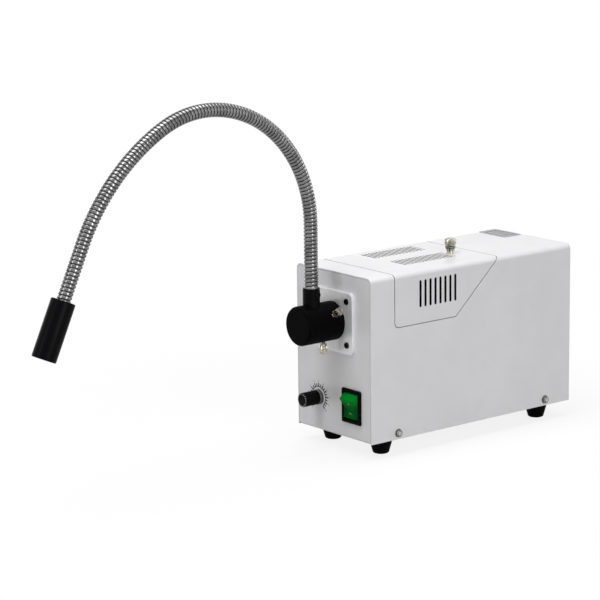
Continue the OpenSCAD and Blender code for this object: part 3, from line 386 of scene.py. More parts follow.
def glassy(name, colour, roughness):
    """Glass under a clear gloss with a honeycomb of fine dots: fibre ends and faceted lamp glass."""
    f = Finish(name, IOR=1.52, Coat_Weight=0.7, Coat_Roughness=0.04)
    fibres = f.cells(3500)
    f.set(Base_Color=f.mixed(f.between(fibres, 0.15, 0.5), colour, tuple(c * 0.45 for c in colour)),
          Roughness=roughness + fibres * 0.2)
    f.bump(fibres, 0.02 * MM)
    return f.material


def board_green():
    """Solder mask over wandering tracks."""
    f = Finish("solder mask", IOR=1.5)
    x, y, _ = f.axes()
    tracks = f.between((x * 900).wave() * (y * 700 + f.noise(60, 1) * 6).wave(), 0.3, 0.5)
    f.set(Base_Color=f.mixed(tracks, (0.01, 0.09, 0.03), (0.03, 0.17, 0.06)),
          Roughness=0.3 + f.noise(200, 3) * 0.2)
    f.bump(tracks, 0.03 * MM)
    return f.material


def laminations():
    """Varnished steel laminations, stacked along Y."""
    f = Finish("laminations", Metallic=0.4, IOR=1.5)
    sheets = ripple(f.axes()[1], 0.5)
    stain = f.noise(90, 4, stretch=(1, 5, 1))
    f.set(Base_Color=f.mixed(stain, (0.04, 0.042, 0.05), (0.13, 0.12, 0.11)), Roughness=0.4 + stain * 0.3)
    f.bump(sheets, 0.02 * MM)
    return f.material


def wound_tape():
    """Yellow winding tape in uneven laps."""
    f = Finish("winding tape", IOR=1.5)
    laps = (f.axes()[2] * (2 * pi / (6 * MM)) + f.noise(40, 2) * 3).wave()
    f.set(Base_Color=f.mixed(f.between(laps, -0.2, 0.9), (0.42, 0.25, 0.05), (0.58, 0.38, 0.10)),
          Roughness=0.35 + f.noise(300, 3) * 0.2)
    f.bump(laps, 0.08 * MM)
    return f.material


# near-black finish used as painted shade in the box's slots, seams and inside
PAINTED_SHADE_PRIMER = painted_shade_primer()
COVER = enamel("cover enamel", (0.79, 0.785, 0.80), (0.755, 0.75, 0.765), (0.60, 0.59, 0.59))
PANEL = enamel("panel enamel", (0.77, 0.765, 0.78), (0.735, 0.73, 0.745), (0.58, 0.57, 0.57))
BLACK_HEAD = anodised("head anodising", (0.0012, 0.0012, 0.0014), (0.05, 0.05, 0.05), 1, 0.02, 0.42)
BLACK_TUBE = anodised("nozzle anodising", (0.0012, 0.0012, 0.0016), (0.05, 0.05, 0.05), 2, 0.05, 0.26)
PLATE_ANODISED = brushed_plate()
CLEAR_ANODISED = bare_metal("plate aluminium", (0.40, 0.40, 0.41), (0.32, 0.32, 0.33), 0.36, grain=(1, 1, 9))
TURNED_ALUMINIUM = bare_metal("turned aluminium", (0.72, 0.72, 0.73), (0.58, 0.58, 0.59), 0.22,
                              lines=0.3, axis=1)
NICKEL = bare_metal("nickel", (0.56, 0.535, 0.45), (0.19, 0.18, 0.145), 0.12)
# dark steel for the side washers, and painted shade on the side screws' rims and the hood ferrule's top
DULL_STEEL_AND_PAINTED_SHADE = bare_metal("dull steel", (0.20, 0.197, 0.182), (0.10, 0.098, 0.09), 0.3)
ZINC = bare_metal("zinc plate", (0.62, 0.62, 0.60), (0.42, 0.42, 0.39), 0.28)
BRASS = bare_metal("brass", (0.72, 0.53, 0.22), (0.45, 0.32, 0.14), 0.25)
BLACK_OXIDE = bare_metal("black oxide", (0.012, 0.012, 0.013), (0.006, 0.006, 0.006), 0.34)
# the groove finish is near-black steel: painted shade in the hose's grooves
HOSE_STEEL, HOSE_GROOVE_SHADE = hose_steel(), hose_groove_shade()
# the pale edge colour on the black knob gives painted glints as well as scuffs
KNOB_PLASTIC = moulded("knob plastic", (0.0018, 0.0018, 0.002), (0.6, 0.6, 0.6), 0.24, shine=0.05)
# light metal on the black knob's rim: painted glints
KNOB_RIM_GLINT = bare_metal("knob rim", (0.42, 0.42, 0.43), (0.01, 0.01, 0.01), 0.2)
SKIRT_PLASTIC = moulded("skirt plastic", (0.085, 0.085, 0.09), (0.35, 0.35, 0.35), 0.3)
SWITCH_PLASTIC = moulded("switch plastic", (0.0014, 0.0014, 0.0014), (0.02, 0.02, 0.02), 0.4, shine=0.02)
INLET_PLASTIC = moulded("inlet plastic", (0.006, 0.006, 0.006), (0.07, 0.07, 0.07), 0.42, shine=0.2)
FAN_PLASTIC = moulded("fan plastic", (0.008, 0.008, 0.008), (0.06, 0.06, 0.06), 0.5, grain=500, shine=0.2)
CAP_GREY = moulded("cap plastic", (0.40, 0.40, 0.40), (0.62, 0.62, 0.62), 0.3)
PART_BLUE = moulded("component cases", (0.03, 0.04, 0.10), (0.2, 0.2, 0.25), 0.4)
CERAMIC = moulded("ceramic", (0.62, 0.58, 0.50), (0.75, 0.73, 0.68), 0.6, grain=400)
RUBBER = foot_rubber()
GREEN = green_lens()
DARK_INK = ink("dial ink", (0.008, 0.008, 0.012), (0.05, 0.05, 0.06))
PALE_INK = ink("marking ink", (0.42, 0.66, 0.46), (0.20, 0.45, 0.24))
FIBRES = glassy("fibre ends", (0.75, 0.78, 0.76), 0.12)
LENS_GLASS = glassy("coated glass", (0.42, 0.48, 0.60), 0.06)
CIRCUIT = board_green()
CORE = laminations()
TAPE = wound_tape()


# ---------- modelling ----------

def pick(piece):
    bpy.ops.object.select_all(action="DESELECT")
    piece.select_set(True)
    bpy.context.view_layer.objects.active = piece


def edit(piece):
    pick(piece)
    bpy.ops.object.mode_set(mode="EDIT")


def leave():
    bpy.ops.object.mode_set(mode="OBJECT")


def begin(name):
    """Names the primitive that was just added."""
    piece = bpy.context.object
    piece.name = piece.data.name = name
    return piece


def choose(kind, test):
    """In edit mode, selects the faces, edges or verts whose place (and normal, of a face) passes the test."""
    bpy.ops.mesh.select_mode(type={"faces": "FACE", "edges": "EDGE", "verts": "VERT"}[kind])
    bpy.ops.mesh.select_all(action="DESELECT")
    mesh = bpy.context.edit_object.data
    shape = bmesh.from_edit_mesh(mesh)
    for part in getattr(shape, kind):
        if kind == "faces":
            part.select_set(bool(test(part.calc_center_median() / MM, part.normal)))
        elif kind == "edges":
            part.select_set(bool(test((part.verts[0].co + part.verts[1].co) / 2 / MM)))
        else:
            part.select_set(bool(test(part.co / MM)))
    shape.select_flush_mode()
    bmesh.update_edit_mesh(mesh)


def tidy():
    """In edit mode, merges doubles and turns all faces outwards."""
    bpy.ops.mesh.select_mode(type="VERT")
    bpy.ops.mesh.select_all(action="SELECT")
    bpy.ops.mesh.remove_doubles(threshold=0.001 * MM)
    bpy.ops.mesh.normals_make_consistent(inside=False)


def drawn(name, points, closed=False):
    """A line through points in millimetres, pulled out of one vertex."""
    bpy.ops.object.select_all(action="DESELECT")
    bpy.ops.mesh.primitive_plane_add(size=MM)
    piece = begin(name)
    bpy.ops.object.mode_set(mode="EDIT")
    bpy.ops.mesh.select_mode(type="VERT")
    bpy.ops.mesh.select_all(action="SELECT")
    bpy.ops.mesh.merge(type="CENTER")
    spots = [Vector(p) * MM for p in points]
    bpy.ops.transform.translate(value=spots[0])
    for here, there in zip(spots, spots[1:]):
        bpy.ops.mesh.extrude_vertices_move(TRANSFORM_OT_translate={"value": there - here})
    if closed:
        bpy.ops.mesh.select_all(action="SELECT")
        bpy.ops.mesh.edge_face_add()
    return piece


def turned(name, profile, steps=72):
    """A piece turned about Z from (radius, height) points."""
    piece = drawn(name, [(r, 0, z) for r, z in profile])
    bpy.ops.mesh.select_all(action="SELECT")
    bpy.ops.mesh.spin(steps=steps, angle=2 * pi, center=(0, 0, 0), axis=(0, 0, 1))
    tidy()
    leave()
    return piece


def thick(name, points, height):
    """An outline of (x, y) points given a thickness upwards."""
    piece = drawn(name, [(x, y, 0) for x, y in points], closed=True)
    bpy.ops.mesh.extrude_region_move(TRANSFORM_OT_translate={"value": (0, 0, height * MM)})
    tidy()
    leave()
    return piece


def oblong(length, width, x=0, y=0):
    """The corners of a rectangle round a middle."""
    return [(sx * length / 2 + x, sy * width / 2 + y) for sx, sy in ((-1, -1), (1, -1), (1, 1), (-1, 1))]


def modified(piece, kind, **settings):
    pick(piece)
    modifier = piece.modifiers.new(kind.lower(), kind)
    for name, value in settings.items():
        setattr(modifier, name, value)
    bpy.ops.object.modifier_apply(modifier=modifier.name)
    return piece


def softened(piece, width, angle=30, segments=2):
    """Edges sharper than the angle get a small round."""
    return modified(piece, "BEVEL", width=width * MM, segments=segments, limit_method="ANGLE",
                    angle_limit=radians(angle), use_clamp_overlap=True, miter_outer="MITER_ARC")


def smooth(piece, angle=35):
    pick(piece)
    bpy.ops.object.shade_smooth_by_angle(angle=radians(angle))
    return piece


def placed(piece, matrix):
    """Moves a piece to its place and bakes the place into its mesh."""
    piece.matrix_world = matrix
    pick(piece)
    bpy.ops.object.transform_apply(location=True, rotation=True, scale=True)
    return piece


def at(x, y, z, *turns):
    """A place in millimetres, after turns of (degrees, axis)."""
    matrix = Matrix.Translation(Vector((x, y, z)) * MM)
    for angle, axis in turns:
        matrix = matrix @ Matrix.Rotation(radians(angle), 4, axis)
    return matrix


def copies(piece, matrices):
    """The piece and its copies, each placed and with its own mesh."""
    made = []
    for i, matrix in enumerate(matrices):
        one = piece if i == len(matrices) - 1 else piece.copy()
        if one is not piece:
            one.data = piece.data.copy()
            bpy.context.collection.objects.link(one)
        made.append(one)
    return [placed(one, matrix) for one, matrix in zip(made, matrices)]


def joined(name, pieces):
    bpy.ops.object.select_all(action="DESELECT")
    for piece in pieces:
        piece.select_set(True)
    bpy.context.view_layer.objects.active = pieces[0]
    if len(pieces) > 1:
        bpy.ops.object.join()
    pieces[0].name = pieces[0].data.name = name
    return pieces[0]


def coat(piece, *finishes):
    piece.data.materials.clear()
    for finish in finishes:
        piece.data.materials.append(finish)
    return piece


def mount(piece, body, slot, *replaced):
    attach(piece, body)
    if replaced:
        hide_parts(*replaced)
    return piece


def refined(node, finish, body, slot, edge=0.25, angle=30, segments=2):
    """A merged copy of a CAD node with small rounds on its edges."""
    copy = NODES[node].copy()
    copy.data = NODES[node].data.copy()
    copy.parent = None
    copy.name = copy.data.name = node + "_finished"
    bpy.context.collection.objects.link(copy)
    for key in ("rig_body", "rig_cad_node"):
        if key in copy:
            del copy[key]
    edit(copy)
    bpy.ops.mesh.select_all(action="SELECT")
    bpy.ops.mesh.remove_doubles(threshold=0.002 * MM)
    bpy.ops.mesh.dissolve_limited(angle_limit=radians(0.5))
    bpy.ops.mesh.customdata_custom_splitnormals_clear()
    leave()
    smooth(softened(copy, edge, angle, segments))
    modified(copy, "WEIGHTED_NORMAL", weight=100, keep_sharp=True)
    return mount(coat(copy, finish), body, slot, node)


def dress(finish, *nodes):
    """A better material on CAD nodes that keep their own shape."""
    for node in nodes:
        for slot in NODES[node].material_slots:
            slot.material = finish


# ---------- camera, floor and light ----------

# Fitted to the photograph: the picture's width and the focal length in pixels, the angles in degrees, and
# the origin's place as the camera has it, in millimetres
PICTURE, FOCAL = 600, 2557.1
AZIMUTH, ELEVATION, ROLL = 51.214, 12.181, -0.700
ORIGIN_RIGHT, ORIGIN_UP, DISTANCE = 127.93, -104.72, 2408.8


def camera():
    az, el, roll = radians(AZIMUTH), radians(ELEVATION), radians(ROLL)
    forward = Vector((-sin(az) * cos(el), cos(az) * cos(el), -sin(el)))
    level = Vector((cos(az), sin(az), 0))
    up = level.cross(forward)
    right = cos(roll) * level + sin(roll) * up
    top = -sin(roll) * level + cos(roll) * up
    place = -(right * ORIGIN_RIGHT + top * ORIGIN_UP + forward * DISTANCE) * MM
    data = bpy.data.cameras.new("camera")
    data.sensor_width = 36
    data.lens = FOCAL / PICTURE * data.sensor_width
    data.clip_end = 50
    eye = bpy.data.objects.new("camera", data)
    bpy.context.collection.objects.link(eye)
    turn = Matrix((right, top, -forward)).transposed()
    eye.matrix_world = Matrix.Translation(place) @ turn.to_4x4()
    bpy.context.scene.camera = eye


# Each lamp's name, place and aim in metres, its width and height in metres, and its power in watts
LAMPS = (
    ("overhead", (0.0, -0.5, 1.6), (0, -0.5001, 0.1), (0.85, 2.0), 26),
    ("front box", (-0.1, -2.0, 0.62), (0, -0.3, 0.2), (0.36, 1.0), 4.8),
    ("right box", (2.0, -0.45, 0.62), (0, -0.2, 0.2), (0.75, 1.3), 16),
    ("left fill", (-2.0, 0.1, 0.3), (0, 0, 0.1), (0.8, 0.6), 5),
    ("rear fill", (0.5, 2.1, 0.3), (0, 0, 0.1), (0.8, 0.6), 6),
)
ROOM_LIGHT = 0.12


def softbox(name, place, aim, size, power):
    data = bpy.data.lights.new(name, "AREA")
    data.shape = "RECTANGLE"
    data.size, data.size_y = size
    data.energy = power
    lamp = bpy.data.objects.new(name, data)
    bpy.context.collection.objects.link(lamp)
    place, aim = Vector(place), Vector(aim)
    turn = (aim - place).to_track_quat("-Z", "Y").to_matrix()
    lamp.matrix_world = Matrix.Translation(place) @ turn.to_4x4()


def background_rays(tree):
    """1 for the rays that see the white background as it is: direct, reflected and those through glass."""
    rays = new_node(tree, "LightPath")
    seen = Amount(tree, rays.outputs["Is Camera Ray"])
    for kind in ("Is Glossy Ray", "Is Transmission Ray"):
        seen = seen.most(Amount(tree, rays.outputs[kind]))
    return seen


def studio():
    """A white background, a dim even room light and the lamps."""
    scene = bpy.context.scene
    scene.view_settings.view_transform = "Standard"
    world = bpy.data.worlds.new("studio")
    scene.world = world
    world.use_nodes = True
    tree = world.node_tree
    tree.nodes.clear()
    room = new_node(tree, "Background", {}, {"Color": WHITE, "Strength": ROOM_LIGHT})
    white = new_node(tree, "Background", {}, {"Color": WHITE, "Strength": 1.0})
    mix = new_node(tree, "MixShader", {}, {0: background_rays(tree), 1: room.outputs[0], 2: white.outputs[0]})
    new_node(tree, "OutputWorld", {}, {"Surface": mix.outputs[0]})
    for lamp in LAMPS:
        softbox(*lamp)
    floor_paper()


def floor_paper():
    """Paper that takes the object's shadow near it and goes over into the white background."""
    bpy.ops.object.select_all(action="DESELECT")
    bpy.ops.mesh.primitive_plane_add(size=8, location=(0, 0, -FOOT_H * MM - 0.0002))
    floor = begin("floor")
    f = Finish("floor paper", Roughness=0.8)
    seen = background_rays(f.tree)
    unseen = f.mixed(f.noise(3, 2), (0.45, 0.45, 0.45), (0.47, 0.47, 0.47))
    f.set(Base_Color=f.mixed(seen, unseen, (0.92, 0.92, 0.92)))
    glow = f.node("Emission", {}, {"Color": WHITE, "Strength": 1.0})
    x, y, _ = f.axes()
    away = (x * x + (y + 0.1) * (y + 0.1)) ** 0.5
    glowing = seen * (0.84 + f.between(away, 0.2, 0.5) * 0.16)
    f.show(f.node("MixShader", {}, {0: glowing, 1: f.shader.outputs[0], 2: glow.outputs[0]}))
    coat(floor, f.material)


# ---------- the sheet-metal box ----------

def lined(piece):
    """The near-black inner finish, as painted shade, on faces below the outer skin, but not at the box's
    ends, its foot or the rear seam.

    In the front seam the skin counts as thinner, so that the rounds of its edges get the painted shade too.
    """
    coat(piece, COVER, PAINTED_SHADE_PRIMER)
    for face in piece.data.polygons:
        x, y, z = face.center / MM
        out, up = abs(x) - (BODY_W / 2 - EDGE_R), z - (BODY_H - EDGE_R)
        below = EDGE_R - (Vector((out, up)).length if out > 0 and up > 0 else max(out, up))
        front_seam = abs(y - HOOD_FRONT) < 1 and z > BODY_H - 1
        rear_seam = y > 0 and z > BODY_H - 1.3 and face.normal.y < -0.9
        painted = abs(y) > BODY_L / 2 - 6 or z < 2 or rear_seam
        skin = 0.02 if front_seam else 0.3
        # painted shade: every face deeper than the outer skin gets the near-black finish
        face.material_index = int(below > skin and not painted)


def box():
    lined(refined("cover_shell", COVER, "housing", "housing_enamel", edge=0.35))
    lined(refined("lamp_hood", COVER, "hood", "housing_enamel", edge=0.3))
    refined("chassis", PANEL, "housing", "chassis_enamel", edge=0.3)
    roof_plate()
    side_screws()
    feet()


def roof_plate():
    """A data plate with a sunk field, a printed border round two rules, and two rivets."""
    width, length, r, height, sunk = 37, 22, 1.5, 0.5, 0.15
    points = []
    for quarter, (sx, sy) in enumerate(((1, 1), (-1, 1), (-1, -1), (1, -1))):
        for k in range(5):
            a = radians(90 * quarter + 22.5 * k)
            points.append((sx * (width / 2 - r) + r * cos(a), sy * (length / 2 - r) + r * sin(a)))
    plate = thick("roof_plate", points, height)
    edit(plate)
    choose("faces", lambda c, n: n.z > 0.9)
    bpy.ops.mesh.inset(thickness=1.0 * MM, depth=0)
    bpy.ops.mesh.inset(thickness=sunk * MM, depth=-sunk * MM)
    leave()
    softened(plate, 0.08)
    rivet = smooth(turned("roof_rivet", [(0, 0.25), (0.5, 0.22), (0.85, 0.1), (1.0, -0.1), (0, -0.1)], 24))
    rivets = copies(rivet, [at(x, 0, height + 0.05) for x in (3 - width / 2, width / 2 - 3)])

    border, rule = 0.9, 0.7
    across, along = length / 2 - 3.4, width / 2 - 5.9
    bars = [(width - 11, border, 0, across), (width - 11, border, 0, -across),
            (border, length - 6, along, 0), (border, length - 6, -along, 0),
            (width - 14, rule, 0, 3.2), (width - 14, rule, 0, -1.6)]
    rules = joined("roof_plate_print", [thick("roof_plate_bar", oblong(*bar), 0.02) for bar in bars])
    placed(rules, at(ROOF_PLATE_X, ROOF_PLATE_Y, BODY_H + height - sunk))
    mount(coat(rules, DARK_INK), "housing", "plated_steel")
    whole = joined("roof_plate", [smooth(plate), *rivets])
    placed(whole, at(ROOF_PLATE_X, ROOF_PLATE_Y, BODY_H))
    mount(coat(whole, CLEAR_ANODISED), "housing", "plated_steel")


def cross_recess(piece, width, reach, top, depth):
    """Cuts a tapering cross slot into the top of a screw head at the origin."""
    bpy.ops.object.select_all(action="DESELECT")
    bpy.ops.mesh.primitive_cube_add(size=1)
    cutter = begin("cutter")
    cutter.scale = (reach * MM, width * MM, 2 * depth * MM)
    cutter.location = (0, 0, top * MM)
    pick(cutter)
    bpy.ops.object.transform_apply(location=True, rotation=True, scale=True)
    edit(cutter)
    choose("faces", lambda c, n: n.z < -0.9)
    bpy.ops.transform.resize(value=(0.5, 0.6, 1), center_override=(0, 0, 0))
    leave()
    for turn in (0, 90):
        placed(cutter, Matrix.Rotation(radians(turn), 4, "Z"))
        modified(piece, "BOOLEAN", operation="DIFFERENCE", object=cutter, solver="EXACT")
    bpy.data.objects.remove(cutter)
    return piece


def pan_head(r, h):
    """A pan head with a cross recess; its seat at height 0."""
    quarter = [radians(15 * k) for k in range(7)]
    dome = [(r * sin(a), h * (0.45 + 0.55 * cos(a))) for a in quarter]
    head = turned("pan_head", [*dome, (r, 0.15), (r - 0.15, 0), (0, 0)], 48)
    cross_recess(head, 0.7, 1.2 * r, h, 0.75)
    return smooth(softened(head, 0.05, 40, 1), 30)


def side_screws():
    """The cover's screws and their washers, the slots turned off the upright; each head's rim is dark and its
    middle bright, as painted shade and a painted highlight.
    """
    washer = turned("side_washer", [(1.6, 0), (3.9, 0), (4.0, 0.1), (3.85, 0.55), (1.6, 0.6), (1.6, 0)], 48)
    coat(smooth(washer), DULL_STEEL_AND_PAINTED_SHADE, ZINC)
    head = coat(pan_head(3.5, 2.2), DULL_STEEL_AND_PAINTED_SHADE, ZINC)
    # painted shade and highlight: the head's rim takes the dark steel and its middle the bright zinc
    for face in head.data.polygons:
        face.material_index = int(face.center.xy.length < 2.1 * MM)
    placed(head, at(0, 0, 0.6))
    screw = joined("side_screw", [head, washer])
    places = []
    for side in (-1, 1):
        for y in (FRONT + SIDE_SCREW_IN, REAR - SIDE_SCREW_IN):
            places.append(at(side * BODY_W / 2, y, SIDE_SCREW_Z, (side * 90, "Y"), (17 + y, "Z")))
    mount(joined("side_screws", copies(screw, places)), "housing", "nickel", "cover_screws")


def feet():
    """Tapered rubber feet, each with its screw in a recess of the sole and its nut inside the box."""
    top, bottom, r, hole, recess = 11.2, 7.8, 2.2, 2.1, 3.9
    ground, seat = -FOOT_H, -FOOT_H + 6
    quarter = [radians(15 * k) for k in range(7)]
    sole = [(bottom - r + r * cos(a), ground + r - r * sin(a)) for a in quarter]
    profile = [(hole, 0), (top - 0.5, 0), (top, -0.5), (top - 0.1, -1.1), *sole, (recess + 0.3, ground),
               (recess, ground + 0.3), (recess, seat), (hole, seat), (hole, 0)]
    foot = smooth(turned("foot", profile, 64))
    places = [at(sx * FOOT_X, sy * FOOT_Y, 0) for sx in (-1, 1) for sy in (-1, 1)]
    mount(coat(joined("feet", copies(foot, places)), RUBBER), "housing", "foot_rubber", "rubber_feet")
    head = placed(pan_head(3.4, 2.3), at(0, 0, seat, (180, "X")))
    shank = turned("foot_shank", [(0, -9.3), (1.9, -9.3), (1.9, 5.6), (1.4, 6.4), (0, 6.4)], 32)
    nut = turned("foot_nut", [(1.95, 1.5), (3.8, 1.5), (4.0, 1.9), (4.0, 4.1), (3.8, 4.5), (1.95, 4.5),
                              (1.95, 1.5)], 6)
    screw = joined("foot_screw", [head, shank, nut])
    screws = coat(joined("foot_screw_set", copies(screw, places)), ZINC)
    mount(screws, "housing", "plated_steel", "foot_screws")


# ---------- light socket, head and gooseneck ----------

def socket():
    refined("adapter_plate", PLATE_ANODISED, "housing", "clear_aluminium", edge=0.6, segments=3)
    refined("guide_socket", BLACK_HEAD, "housing", "black_aluminium", edge=0.25)
    refined("adapter_screws", BLACK_OXIDE, "housing", "black_screw", edge=0.25)
    dress(TURNED_ALUMINIUM, "socket_nut", "guide_plug")


def knurled(name, profile, teeth, depth):
    """A turned grip with straight knurling: at its widest rings, two of every four columns stand back."""
    grip = turned(name, profile, 4 * teeth)
    widest = max(r for r, z in profile)
    column = 2 * pi / (4 * teeth)

    def in_groove(v):
        turn = v.xy.angle_signed(Vector((1, 0)), 0)
        return v.xy.length > widest - 0.01 and round(turn / column) % 4 < 2

    edit(grip)
    choose("verts", in_groove)
    low = (widest - depth) / widest
    bpy.ops.transform.resize(value=(low, low, 1), center_override=(0, 0, 0))
    leave()
    return smooth(grip, 30)


def thumbscrew(name, r, length, teeth, shank_l, waist, flange_r, flange_z):
    """A thumbscrew along Z with its head's foot at 0: a knurled grip, its end slightly dished, a waist with a
    flange under it, and a threaded shank.
    """
    end = [(0, length - 0.25), (0.5 * r, length - 0.22), (0.62 * r, length - 0.05), (0.66 * r, length)]
    rim = [(r - 0.7, length), (r - 0.4, length - 0.1), (r, length - 0.7)]
    foot = [(r, 0.7), (r - 0.5, 0.1), (r - 0.8, 0), (0, 0)]
    grip = knurled(name, [*end, *rim, *foot], teeth, 0.35)
    neck = [(0, 0.4), (waist, 0.4), (waist, flange_z), (flange_r, flange_z - 0.1), (flange_r, flange_z - 0.7),
            (waist - 0.3, flange_z - 0.8)]
    thread_from, pitch, crest, root = 1.5, 0.7, 1.88, 1.62
    thread = [(1.9, -1.4)]
    for k in range(int((shank_l - thread_from) / pitch)):
        z = -thread_from - k * pitch
        thread += [(crest, z), (root, z - 0.28), (root, z - 0.38), (crest, z - 0.62)]
    point = [(1.5, -shank_l + 0.1), (1.2, -shank_l), (0, -shank_l)]
    stem = turned(name + "_stem", [*neck, *thread, *point], 32)
    return joined(name, [grip, smooth(stem, 40)])


def socket_screws():
    """Three thumbscrews round the lamp's axis, their grips' feet at one distance from it."""
    reach = 21.7
    for name, angle in (("right", 30), ("left", 150), ("under", -90)):
        screw = thumbscrew("thumbscrew_" + name, r=3.6, length=7.2, teeth=22, shank_l=9.6,
                           waist=2.3, flange_r=3.4, flange_z=-0.8)
        placed(screw, at(LAMP_X, THUMB_Y, LAMP_Z, (-angle, "Y")) @ at(reach, 0, 0, (90, "Y"), (11, "Z")))
        mount(coat(screw, NICKEL), "screw_" + name, "nickel", "socket_screw_" + name)


def head():
    refined("guide_head", BLACK_HEAD, "head", "black_aluminium", edge=0.3, angle=50)
    refined("gooseneck_collar", BLACK_TUBE, "head", "black_aluminium", edge=0.3)
    refined("collar_screw", BLACK_OXIDE, "head", "black_screw", edge=0.15)
    dress(TURNED_ALUMINIUM, "hose_sleeve")
    dress(FIBRES, "bundle_bend", "fibre_bundle")


def bent(state, radius, angle):
    """The state after a bend; a state is (y, z, heading), where 0 heads up and more turns to the front."""
    y, z, heading = state
    end = heading + radians(angle)
    y += radius * (cos(end) - cos(heading))
    z += radius * (sin(end) - sin(heading))
    return y, z, end


def straight(state, length):
    y, z, heading = state
    return y - length * sin(heading), z + length * cos(heading), heading


def hose_route(sunk):
    """The gooseneck's points from just inside the collar, its length, and its state at the nozzle's mouth."""
    state = (COLLAR_Y, HOSE_START, 0)
    states = [straight(state, -sunk), state]
    state = straight(state, RISE)
    states.append(state)
    for radius, angle in BENDS:
        parts = round(angle)
        states += [bent(state, radius, angle * (k + 1) / parts) for k in range(parts)]
        state = states[-1]
    mouth = straight(state, FALL)
    states += [mouth, straight(mouth, HOSE_IN_NOZZLE)]
    length = sunk + RISE + sum(r * radians(a) for r, a in BENDS) + FALL + HOSE_IN_NOZZLE
    return [(LAMP_X, y, z) for y, z, h in states], length, mouth


# One turn of the interlocked strip: (along, radius), groove first and then the crest
STRIP = ((0.0, 5.62), (0.25, 5.54), (0.60, 5.54), (0.85, 5.62), (0.93, 6.02), (1.03, 6.18), (1.22, 6.28),
         (1.55, 6.31), (2.95, 6.31), (3.16, 6.26), (3.28, 6.14), (3.34, 5.98), (3.40, 5.62))
STRIP_PITCH = STRIP[-1][0]
GROOVE_R = 5.8


def hose():
    """Interlocked strip, wound as one helix and bent along the gooseneck's route."""
    route, length, mouth = hose_route(sunk=3)
    line = bpy.data.curves.new("hose_route", "CURVE")
    line.dimensions = "3D"
    spline = line.splines.new("POLY")
    spline.points.add(len(route) - 1)
    for point, place in zip(spline.points, route):
        point.co = (*(Vector(place) * MM), 1)
    guide = bpy.data.objects.new("hose_route", line)
    bpy.context.collection.objects.link(guide)

    strip = drawn("hose", [(r, 0, s) for s, r in STRIP])
    leave()
    turns = int(length / STRIP_PITCH) - 1
    modified(strip, "SCREW", axis="Z", screw_offset=STRIP_PITCH * MM, iterations=turns,
             steps=28, render_steps=28, use_merge_vertices=False)
    edit(strip)
    tidy()
    leave()
    coat(strip, HOSE_STEEL, HOSE_GROOVE_SHADE)
    # painted shade: faces below the groove radius get the near-black groove steel
    for face in strip.data.polygons:
        face.material_index = int(face.center.xy.length / MM < GROOVE_R)
    modified(strip, "CURVE", object=guide, deform_axis="POS_Z")
    bpy.data.objects.remove(guide)
    smooth(strip, 50)
    mount(strip, "gooseneck", "stainless", "gooseneck_hose")
    return mouth


def nozzle(mouth):
    """The tip: a black tube bored for the hose at its mouth and for the bundle's ferrule at its far end."""
    y, z, heading = mouth
    to_place = Matrix.Translation(Vector((LAMP_X, y, z)) * MM) @ Matrix.Rotation(heading, 4, "X")
    r, hose_r, bundle_r, ferrule_r = 10.75, 6.6, 4.3, 8.15
    length, shoulder = NOZZLE_L, NOZZLE_L - 13.5
    edge = ((0.9, 0), (0.35, 0.25), (0.08, 0.8), (0, 1.4))
    outside = [(r - inward, s) for inward, s in edge]
    outside += [(r - inward, length - s) for inward, s in reversed(edge)]
    profile = [(hose_r, HOSE_IN_NOZZLE), (hose_r, 0.4), (7.0, 0), *outside, (8.5, length),
               (ferrule_r, length - 0.3), (ferrule_r, shoulder), (bundle_r, shoulder),
               (bundle_r, HOSE_IN_NOZZLE), (hose_r, HOSE_IN_NOZZLE)]
    tube = smooth(turned("nozzle_tube", profile, 96), 40)
    mount(coat(placed(tube, to_place), BLACK_TUBE), "gooseneck", "black_aluminium", "nozzle")
    tip = length - TIP_RECESS
    ring = turned("nozzle_ring", [(3.8, tip - 0.3), (4.1, tip), (7.6, tip), (8.0, tip - 0.4), (8.0, tip - 12),
                                  (3.8, tip - 12), (3.8, tip - 0.3)], 72)
    placed(smooth(ring), to_place)
    mount(coat(ring, TURNED_ALUMINIUM), "gooseneck", "clear_aluminium", "nozzle_ferrule")


# ---------- front panel controls ----------

KNOB_LENGTH, KNOB_SKIRT, FLUTES = 19, 2.3, 18
GRIP_R, SKIRT_R, BORE_R = 6.6, 7.0, 3.05


def knob_grip():
    """The fluted grip with a raised rim round a sunk face; between the flutes the rim gets light metal as
    painted glints.
    """
    outline = []
    for i in range(FLUTES):
        for part, dip in ((0.0, 0.0), (0.22, 0.0), (0.40, 0.32), (0.61, 0.5), (0.82, 0.32)):
            a = 2 * pi * (i + part) / FLUTES
            outline.append(((GRIP_R - dip) * cos(a), (GRIP_R - dip) * sin(a)))
    grip = thick("knob_body", outline, KNOB_LENGTH - KNOB_SKIRT)
    edit(grip)
    choose("faces", lambda c, n: n.z > 0.9)
    bpy.ops.mesh.inset(thickness=0.45 * MM, depth=0.4 * MM)
    bpy.ops.mesh.inset(thickness=0.6 * MM, depth=0)
    bpy.ops.mesh.inset(thickness=0.1 * MM, depth=-0.5 * MM)
    leave()
    softened(grip, 0.12, 35)
    placed(grip, at(0, 0, KNOB_SKIRT - 0.4))
    coat(grip, KNOB_PLASTIC, KNOB_RIM_GLINT)
    for face in grip.data.polygons:
        reach = face.center.xy.length / MM
        turn = degrees(face.center.xy.angle_signed(Vector((1, 0)), 0)) * FLUTES / 360 % 1
        on_rim = face.center.z / MM > KNOB_LENGTH - 0.5 and 5.45 < reach < GRIP_R - 0.35
        # painted glints: rim faces between the flutes get the light metal
        face.material_index = int(on_rim and turn < 0.45)
    return smooth(grip, 32)


